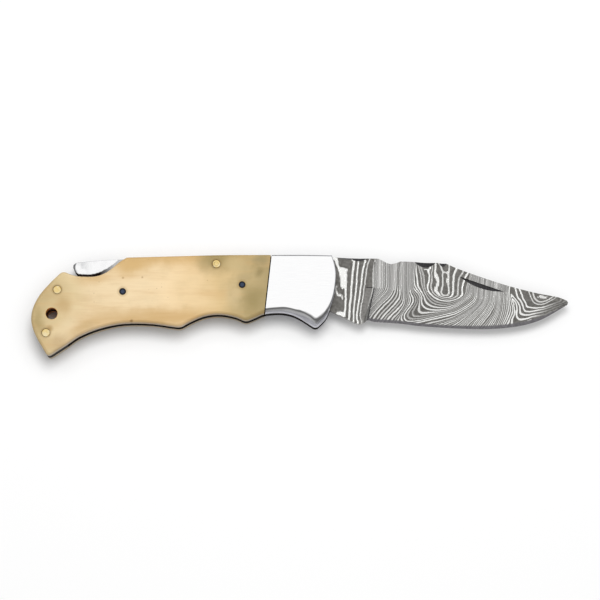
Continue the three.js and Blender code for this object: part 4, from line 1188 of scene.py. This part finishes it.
# cut into small squares, fine enough to hold the layers' counts
layerGrid = {
    "lowX": 3.0, "highX": 97.5, "lowY": -15.0, "highY": 15.0,
    "square": 0.5,            # side of the blade's small squares, in millimetres
    "steps": (2.4, 1.2, 0.6, 0.3, 0.15),   # of the finer and finer grids
    "rounds": 250,            # of evening out on each of them
    "firstCount": 20.0,
    "lastRounds": 3,          # of evening out the counts' sharp bends
    "slopeRounds": 6,
    "leastSlope": 0.12,       # layers in a millimetre where they lie nearly level
}
workOn(blade)
bpy.ops.object.mode_set(mode="EDIT")
for axis, name in enumerate("XY"):
    normal = Vector((0, 0, 0))
    normal[axis] = 1
    for place in np.arange(layerGrid["low" + name], layerGrid["high" + name], layerGrid["square"]):
        bpy.ops.mesh.select_all(action="SELECT")
        bpy.ops.mesh.bisect(plane_co=normal * place * mm, plane_no=normal)
bpy.ops.object.mode_set(mode="OBJECT")
smoothShading(blade, 25)
finishPiece(blade, "blade", "pattern_steel", "blade")
print("blade made:", len(blade.data.polygons), "faces")


def readGrid(grid, step, x, y):
    # the grid's value at places in millimetres, shared between the four nearest points
    column = np.clip((x - layerGrid["lowX"]) / step, 0, grid.shape[1] - 1.001)
    row = np.clip((y - layerGrid["lowY"]) / step, 0, grid.shape[0] - 1.001)
    left, low = column.astype(int), row.astype(int)
    right, up = column - left, row - low
    below = grid[low, left] * (1 - right) + grid[low, left + 1] * right
    above = grid[low + 1, left] * (1 - right) + grid[low + 1, left + 1] * right
    return below * (1 - up) + above * up


def evenedOut(grid, ownShare):
    # each point becomes the mean of its four neighbours, or keeps a share of its own value
    wide = np.pad(grid, 1, mode="edge")
    around = (wide[:-2, 1:-1] + wide[2:, 1:-1] + wide[1:-1, :-2] + wide[1:-1, 2:]) / 4
    return around * (1 - ownShare) + grid * ownShare


def runThrough(points, step):
    # a smooth run of places through the given ones
    ends = np.array([points[0], *points, points[-1]], dtype=float)
    stretches = []
    for a, b, c, d in zip(ends, ends[1:], ends[2:], ends[3:]):
        share = np.linspace(0, 1, max(3, int(np.linalg.norm(c - b) / step)))[:, None]
        bend = share * (2 * a - 5 * b + 4 * c - d + share * (3 * (b - c) + d - a))
        stretches.append(b + 0.5 * share * (c - a + bend))
    return np.concatenate(stretches)


def spreadLayers(lines):
    # counts held on the drawn lines and spread evenly between them, on finer and finer grids;
    # with them goes the distance from one layer to the next
    counts = None
    for step in layerGrid["steps"]:
        x, y = np.meshgrid(np.arange(layerGrid["lowX"], layerGrid["highX"], step),
                           np.arange(layerGrid["lowY"], layerGrid["highY"], step))
        if counts is None:
            counts = np.full(x.shape, layerGrid["firstCount"])
        else:
            counts = readGrid(counts, stepBefore, x, y)
        total, lineCount = np.zeros(x.shape), np.zeros(x.shape)
        for count, points in lines:
            run = (runThrough(points, step / 3) - (layerGrid["lowX"], layerGrid["lowY"])) / step
            run = np.unique(np.rint(run).astype(int), axis=0)
            run = run[((run >= 0) & (run < x.shape[::-1])).all(axis=1)]
            total[run[:, 1], run[:, 0]] += count
            lineCount[run[:, 1], run[:, 0]] += 1
        held = total / np.maximum(lineCount, 1)
        for _ in range(layerGrid["rounds"]):
            counts = np.where(lineCount > 0, held, evenedOut(counts, 0))
        stepBefore = step
    for _ in range(layerGrid["lastRounds"]):
        counts = evenedOut(counts, 0.5)
    slope = np.hypot(*np.gradient(counts, step))
    for _ in range(layerGrid["slopeRounds"]):
        slope = evenedOut(slope, 0.5)
    return counts, 1 / np.maximum(slope, layerGrid["leastSlope"])


def storeLayers(piece):
    # the count and the gap at each corner of each face, for the material to read
    mesh = piece.data
    corners = np.zeros(len(mesh.loops), int)
    mesh.loops.foreach_get("vertex_index", corners)
    places = np.zeros(3 * len(mesh.vertices))
    mesh.vertices.foreach_get("co", places)
    x, y, z = places.reshape(-1, 3)[corners].T / mm
    cornersOfFace = np.zeros(len(mesh.polygons), int)
    mesh.polygons.foreach_get("loop_total", cornersOfFace)
    normals = np.zeros(3 * len(mesh.polygons))
    mesh.polygons.foreach_get("normal", normals)
    facing = np.repeat(normals.reshape(-1, 3)[:, 2], cornersOfFace)
    # the stack of layers also runs through the thickness, so the back shows other ones
    perMm = bladeLook["layersThrough"]
    through = np.where(facing < -0.25, -2 * halfThickness / mm, z - bladeHigh.z / mm) * perMm
    for name, lines in bladeLayers.items():
        count, gap = (readGrid(grid, layerGrid["steps"][-1], x, y)
                      for grid in spreadLayers(lines))
        count += np.where(facing > 0.25, 0, through)
        for ending, values in (("Count", count), ("Gap", gap)):
            stored = mesh.attributes.new(name + ending, "FLOAT", "CORNER")
            stored.data.foreach_set("value", values.astype(np.float32))


storeLayers(blade)
print("layers spread")


# Pattern-welded steel, etched: the plain steel turns dark grey and the one with nickel stays
# bright, so that each layer shows as a line where the grinding cut it
def patternSteel():
    material, tree, shader, place = newMaterial("etched pattern-welded steel")
    spot = addNode(tree, "SeparateXYZ", {0: place}).node.outputs

    # the flat tang and the ground blade cut the layers differently
    low = addNode(tree, "Math", {0: spot["Y"], 1: bladeLook["plungeTop"]}, operation="MINIMUM")
    plunge = addNode(tree, "Math", {0: low, 1: -bladeLook["plungeLean"], 2: spot["X"]},
                     operation="MULTIPLY_ADD")
    plunge = addNode(tree, "Math", {0: plunge, 1: bladeLook["plungeX"]}, operation="SUBTRACT")
    onGround = addNode(tree, "MapRange", {"Value": plunge, "From Min": -0.05, "From Max": 0.05})
    drawn = {name + ending: addNode(tree, "Attribute", output="Fac", attribute_name=name + ending)
             for name in bladeLayers for ending in ("Count", "Gap")}
    count, gap = (addNode(tree, "Mix", {
        "Factor": onGround, "A": drawn["ricasso" + ending], "B": drawn["ground" + ending]},
        "Result") for ending in ("Count", "Gap"))

    # no forged line is quite straight: each strays by a share of a millimetre
    stray = addNode(tree, "TexNoise", {
        "Vector": place, "Scale": bladeLook["wobblesPerMm"], "Detail": 3.0},
        noise_dimensions="2D")
    stray = addNode(tree, "Math", {0: stray, 1: 0.5}, operation="SUBTRACT")
    stray = addNode(tree, "Math", {0: stray, 1: 2 * bladeLook["wobble"]}, operation="MULTIPLY")
    stray = addNode(tree, "Math", {0: stray, 1: gap}, operation="DIVIDE")
    count = addNode(tree, "Math", {0: count, 1: stray}, operation="ADD")

    # bright lines at whole counts, some wider than others
    away = addNode(tree, "Math", {0: count, 1: 0.5}, operation="PINGPONG")
    away = addNode(tree, "Math", {0: away, 1: gap}, operation="MULTIPLY")
    uneven = addNode(tree, "TexNoise", {"W": count, "Scale": 0.7, "Detail": 1.0},
                     noise_dimensions="1D")
    narrow, wide = bladeLook["lineHalf"]
    half = addNode(tree, "MapRange", {
        "Value": uneven, "From Min": 0.3, "From Max": 0.7, "To Min": narrow, "To Max": wide})
    start, full = bladeLook["finerX"]
    finer = addNode(tree, "MapRange", {
        "Value": spot["X"], "From Min": start, "From Max": full,
        "To Min": 1.0, "To Max": bladeLook["finerShare"]})
    half = addNode(tree, "Math", {0: half, 1: finer}, operation="MULTIPLY")
    most = addNode(tree, "Math", {0: gap, 1: bladeLook["lineLimit"]}, operation="MULTIPLY")
    half = addNode(tree, "Math", {0: half, 1: most}, operation="MINIMUM")
    outer, inner = (addNode(tree, "Math", {0: half, 1: share}, operation="MULTIPLY")
                    for share in bladeLook["lineSoftness"])
    bright = addNode(tree, "MapRange", {"Value": away, "From Min": outer, "From Max": inner},
                     interpolation_type="SMOOTHSTEP")
    start, full = bladeLook["plainX"]
    faded = addNode(tree, "Math", {0: spot["Y"], 1: -bladeLook["plainLean"], 2: spot["X"]},
                    operation="MULTIPLY_ADD")
    faded = addNode(tree, "MapRange", {
        "Value": faded, "From Min": start, "From Max": full,
        "To Min": 1.0, "To Max": bladeLook["plainShare"]})
    bright = addNode(tree, "Math", {0: bright, 1: faded}, operation="MULTIPLY")

    mottle = addNode(tree, "TexNoise", {
        "Vector": place, "Scale": bladeLook["mottlePerMm"], "Detail": 4.0})
    dark = addNode(tree, "ValToRGB", {"Fac": mottle}, stops=bladeLook["ground"])
    strength = addNode(tree, "TexNoise", {"W": count, "Scale": 0.43, "Detail": 1.0},
                       noise_dimensions="1D")
    light = addNode(tree, "ValToRGB", {"Fac": strength}, stops=bladeLook["bright"])
    colour = addNode(tree, "Mix", {"Factor": bright, "A": dark, "B": light},
                     "Result", data_type="RGBA")

    # where the layers stand close, the eye takes in streaks of grey rather than single lines
    streak = addNode(tree, "TexNoise", {"W": count, "Scale": 0.9, "Detail": 2.0},
                     noise_dimensions="1D")
    highest = bladeLook["closeTones"][-1][0]
    tone = addNode(tree, "Math", {0: count, 1: highest}, operation="DIVIDE")
    tone = addNode(tree, "FloatCurve", {"Value": tone},
                   points=[(x / highest, y) for x, y in bladeLook["closeTones"]])
    streak = addNode(tree, "Math", {0: streak, 1: tone}, operation="ADD")
    streak = addNode(tree, "Math", {0: streak, 1: 0.5}, operation="SUBTRACT")
    close = addNode(tree, "ValToRGB", {"Fac": streak}, stops=bladeLook["closeGreys"])
    crisp = addNode(tree, "MapRange", {   # the flat above the grind is hazier than the grind
        "Value": spot["Y"], "From Min": -3.0, "From Max": 2.0, "To Min": 1.6, "To Max": 0.75})
    seenGap = addNode(tree, "Math", {0: gap, 1: crisp}, operation="MULTIPLY")
    colour = tonedWhere(tree, colour, close, seenGap, *bladeLook["closeGap"],
                        bladeLook["closeShare"])

    # painted shade in the corner where the grinding wheel stopped, and the tang
    # beside it is paler
    line, level = (addNode(tree, "MapRange", {
        "Value": fromLevel(tree, value, middle), "From Min": start, "From Max": full,
        "To Max": bladeLook["plungeShadeShare"]})
        for value, (middle, start, full) in zip((plunge, spot["Y"]), bladeLook["plungeShadeLines"]))
    across, within = (addNode(tree, "MapRange", {
        "Value": plunge, "From Min": start, "From Max": full})
        for start, full in bladeLook["tangEnd"])
    start, full = bladeLook["plungeShadeBelow"]
    lower = addNode(tree, "MapRange", {"Value": spot["Y"], "From Min": start, "From Max": full})
    softShade = addNode(tree, "MapRange", {
        "Value": plunge, "From Min": bladeLook["softShadeReach"], "From Max": 0.0,
        "To Max": bladeLook["softShadeShare"]})
    softShade = addNode(tree, "Math", {0: softShade, 1: onGround}, operation="MULTIPLY")
    plungeShade = addNode(tree, "Math", {0: softShade, 1: line}, operation="MAXIMUM")
    plungeShade = addNode(tree, "Math", {0: plungeShade, 1: lower}, operation="MULTIPLY")
    # the same painted shade marks the top of the grind, across the end of the tang
    level = addNode(tree, "Math", {0: level, 1: across}, operation="MULTIPLY")
    level = addNode(tree, "Math", {0: level, 1: within}, operation="MULTIPLY")
    plungeShade = addNode(tree, "Math", {0: plungeShade, 1: level}, operation="MAXIMUM")
    pale = addNode(tree, "Math", {0: across, 1: lower}, operation="MULTIPLY")
    pale = addNode(tree, "Math", {0: pale, 1: within}, operation="MULTIPLY")
    pale = addNode(tree, "Math", {0: pale, 1: mottle}, operation="MULTIPLY")
    for share, tone in ((pale, "paleTang"), (plungeShade, "plungeShade")):
        colour = addNode(tree, "Mix", {
            "Factor": share, "A": colour, "B": linear(bladeLook[tone])},
            "Result", data_type="RGBA")

    # the edge was ground again after the etch, to plain grey steel
    edgeTone = addNode(tree, "ValToRGB", {"Fac": mottle}, stops=bladeLook["honedTones"])
    colour = tonedWhere(tree, colour, edgeTone, fromLevel(tree, spot["Z"], middleZ / mm),
                        *bladeLook["honed"], easing="LINEAR")
    tree.links.new(colour, shader.inputs["Base Color"])
    shader.inputs["Metallic"].default_value = bladeLook["metallic"]
    gloss = addNode(tree, "Math", {0: bright, 1: -0.14, 2: 0.4}, operation="MULTIPLY_ADD")
    tree.links.new(gloss, shader.inputs["Roughness"])
    relief = addNode(tree, "Bump", {
        "Height": bright, "Strength": 0.3, "Distance": bladeLook["relief"] * mm})
    tree.links.new(relief, shader.inputs["Normal"])
    return material


# The nail nick and the file cuts were etched with the rest but never polished: nearly black,
# with the file's strokes across them
def filedSteel():
    material, tree, shader, place = newMaterial("etched file cuts")
    strokes = drawnOut(tree, place, bladeLook["strokeStretch"], bladeLook["strokesPerMm"])
    colour = addNode(tree, "ValToRGB", {"Fac": strokes}, stops=bladeLook["filedTones"])
    tree.links.new(colour, shader.inputs["Base Color"])
    shader.inputs["Metallic"].default_value = 0.5
    shader.inputs["Roughness"].default_value = 0.5
    return material


blade.data.materials.append(patternSteel())
blade.data.materials.append(filedSteel())
filed = np.zeros(len(blade.data.polygons), int)
blade.data.attributes["filed"].data.foreach_get("value", filed)
blade.data.polygons.foreach_set("material_index", filed)
print("blade finished")


# Inner parts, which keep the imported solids
innerLook = {
    "rimTones": [(0.3, "#94959a"), (0.7, "#c6c7cb")],
    # painted shade: the rims towards the belly are near black
    "bellyShadeTones": [(0.3, "#0e0b0a"), (0.7, "#26201d")],
    "gritPerMm": 6.0,
    "gritStretch": (0.3, 0.3, 3),
    "shadedFaceTones": [(0.3, "#201b18"), (0.7, "#38312c")],
    "shadedFacePatchesPerMm": 0.8,
    "shadedFaceLevelness": (0.6, 0.9),       # where the ground rim ends and the painted shade is full
    "spacerTones": [(0.3, "#141110"), (0.7, "#2e2927")],
    "spacerPatchesPerMm": 0.7,
    "holeShadeTone": "#4a2c10",    # painted shade in the lanyard hole, brown with the light bounced off the bone
    "holeShadeReach": (2.7, 2.5),  # millimetres from its axis, where the dirt begins and is full
    "bronzeTones": [(0.3, "#a8763c"), (0.7, "#cf9c62")],
    "rollMarksPerMm": 2.0,
    "rollStretch": (0.1, 1, 1),
}


def holeShadedBrown(tree, place, colour):
    # the colour with painted brown shade added on the walls of the lanyard hole
    centre = covers["lanyardHole"] / mm
    away = fromAxis(tree, place, centre.x, centre.y)
    return tonedWhere(tree, colour, innerLook["holeShadeTone"], away, *innerLook["holeShadeReach"],
                      easing="LINEAR")


# Spring steel liners: their rims are ground bright with the handle, with painted shade that turns
# the rims towards the belly near black, and their flat faces, in the channel, are painted near black for
# shade
def groundSteel():
    material, tree, shader, place = newMaterial("ground spring steel")
    rimEnd, shadedFaceStart = innerLook["shadedFaceLevelness"]
    shadedFace = addNode(tree, "MapRange", {
        "Value": levelness(tree, "True Normal"), "From Min": rimEnd, "From Max": shadedFaceStart})
    grit = drawnOut(tree, place, innerLook["gritStretch"], innerLook["gritPerMm"],
                    roughness=0.6)
    rim = addNode(tree, "ValToRGB", {"Fac": grit}, stops=innerLook["rimTones"])
    # painted shade: near black on the rims that face the belly
    bellyShade = addNode(tree, "ValToRGB", {"Fac": grit}, stops=innerLook["bellyShadeTones"])
    upward = addNode(tree, "NewGeometry", output="True Normal")
    upward = addNode(tree, "SeparateXYZ", {0: upward}, "Y")
    upward = addNode(tree, "MapRange", {"Value": upward, "From Min": 0.15, "From Max": 0.3})
    rim = addNode(tree, "Mix", {"Factor": upward, "A": bellyShade, "B": rim},
                  "Result", data_type="RGBA")
    # painted shade: the flat faces, which lie in the channel, are near black
    patch = addNode(tree, "TexNoise", {
        "Vector": place, "Scale": innerLook["shadedFacePatchesPerMm"], "Detail": 3.0})
    black = addNode(tree, "ValToRGB", {"Fac": patch}, stops=innerLook["shadedFaceTones"])
    colour = addNode(tree, "Mix", {"Factor": shadedFace, "A": rim, "B": black},
                     "Result", data_type="RGBA")
    colour = holeShadedBrown(tree, place, colour)
    tree.links.new(colour, shader.inputs["Base Color"])
    metal = addNode(tree, "MapRange", {"Value": shadedFace, "To Min": 0.95, "To Max": 0.4})
    metal = addNode(tree, "Math", {0: metal, 1: upward}, operation="MULTIPLY")
    tree.links.new(metal, shader.inputs["Metallic"])
    gloss = addNode(tree, "Math", {0: grit, 1: 0.2, 2: 0.2}, operation="MULTIPLY_ADD")
    gloss = addNode(tree, "Mix", {"Factor": upward, "A": 0.7, "B": gloss}, "Result")
    tree.links.new(gloss, shader.inputs["Roughness"])
    shader.inputs["Specular IOR Level"].default_value = 0.1
    return material


# The butt spacer is near black all over
def blackSpacerSteel():
    material, tree, shader, place = newMaterial("near-black spacer steel")
    patch = addNode(tree, "TexNoise", {
        "Vector": place, "Scale": innerLook["spacerPatchesPerMm"], "Detail": 4.0})
    colour = addNode(tree, "ValToRGB", {"Fac": patch}, stops=innerLook["spacerTones"])
    colour = holeShadedBrown(tree, place, colour)
    tree.links.new(colour, shader.inputs["Base Color"])
    shader.inputs["Metallic"].default_value = 0.1
    gloss = addNode(tree, "Math", {0: patch, 1: 0.2, 2: 0.55}, operation="MULTIPLY_ADD")
    tree.links.new(gloss, shader.inputs["Roughness"])
    shader.inputs["Specular IOR Level"].default_value = 0.1
    return material


# Phosphor bronze sheet with rolling marks
def bronzeSheet():
    material, tree, shader, place = newMaterial("rolled phosphor bronze")
    roll = drawnOut(tree, place, innerLook["rollStretch"], innerLook["rollMarksPerMm"],
                    3.0, 0.6)
    colour = addNode(tree, "ValToRGB", {"Fac": roll}, stops=innerLook["bronzeTones"])
    tree.links.new(colour, shader.inputs["Base Color"])
    shader.inputs["Metallic"].default_value = 1
    gloss = addNode(tree, "Math", {0: roll, 1: 0.2, 2: 0.25}, operation="MULTIPLY_ADD")
    tree.links.new(gloss, shader.inputs["Roughness"])
    return material


springSteel = groundSteel()
for name in ("liner_front", "liner_back", "blade_pivot_pin",
             "bolster_rivet_upper_front", "bolster_rivet_upper_back",
             "bolster_rivet_lower_front", "bolster_rivet_lower_back"):
    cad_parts[name].material_slots[0].material = springSteel
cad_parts["butt_spacer"].material_slots[0].material = blackSpacerSteel()

# the back spring bends as the lock bar rocks: its root stays put, its free end goes with the bar
backSpring = copyOfNode("lock_spring", "backSpring")
smoothShading(backSpring, 30)
backSpring.data.materials.clear()
backSpring.data.materials.append(springSteel)
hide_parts("lock_spring")
springLow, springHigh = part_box("lock_spring")
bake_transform(backSpring, "handle", "lock_bar",
         start=(springLow.x, 0, middleZ), end=(springHigh.x, 0, middleZ))
bronze = bronzeSheet()
for name in ("pivot_washer_front", "pivot_washer_back"):
    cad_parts[name].material_slots[0].material = bronze
print("inner parts finished")
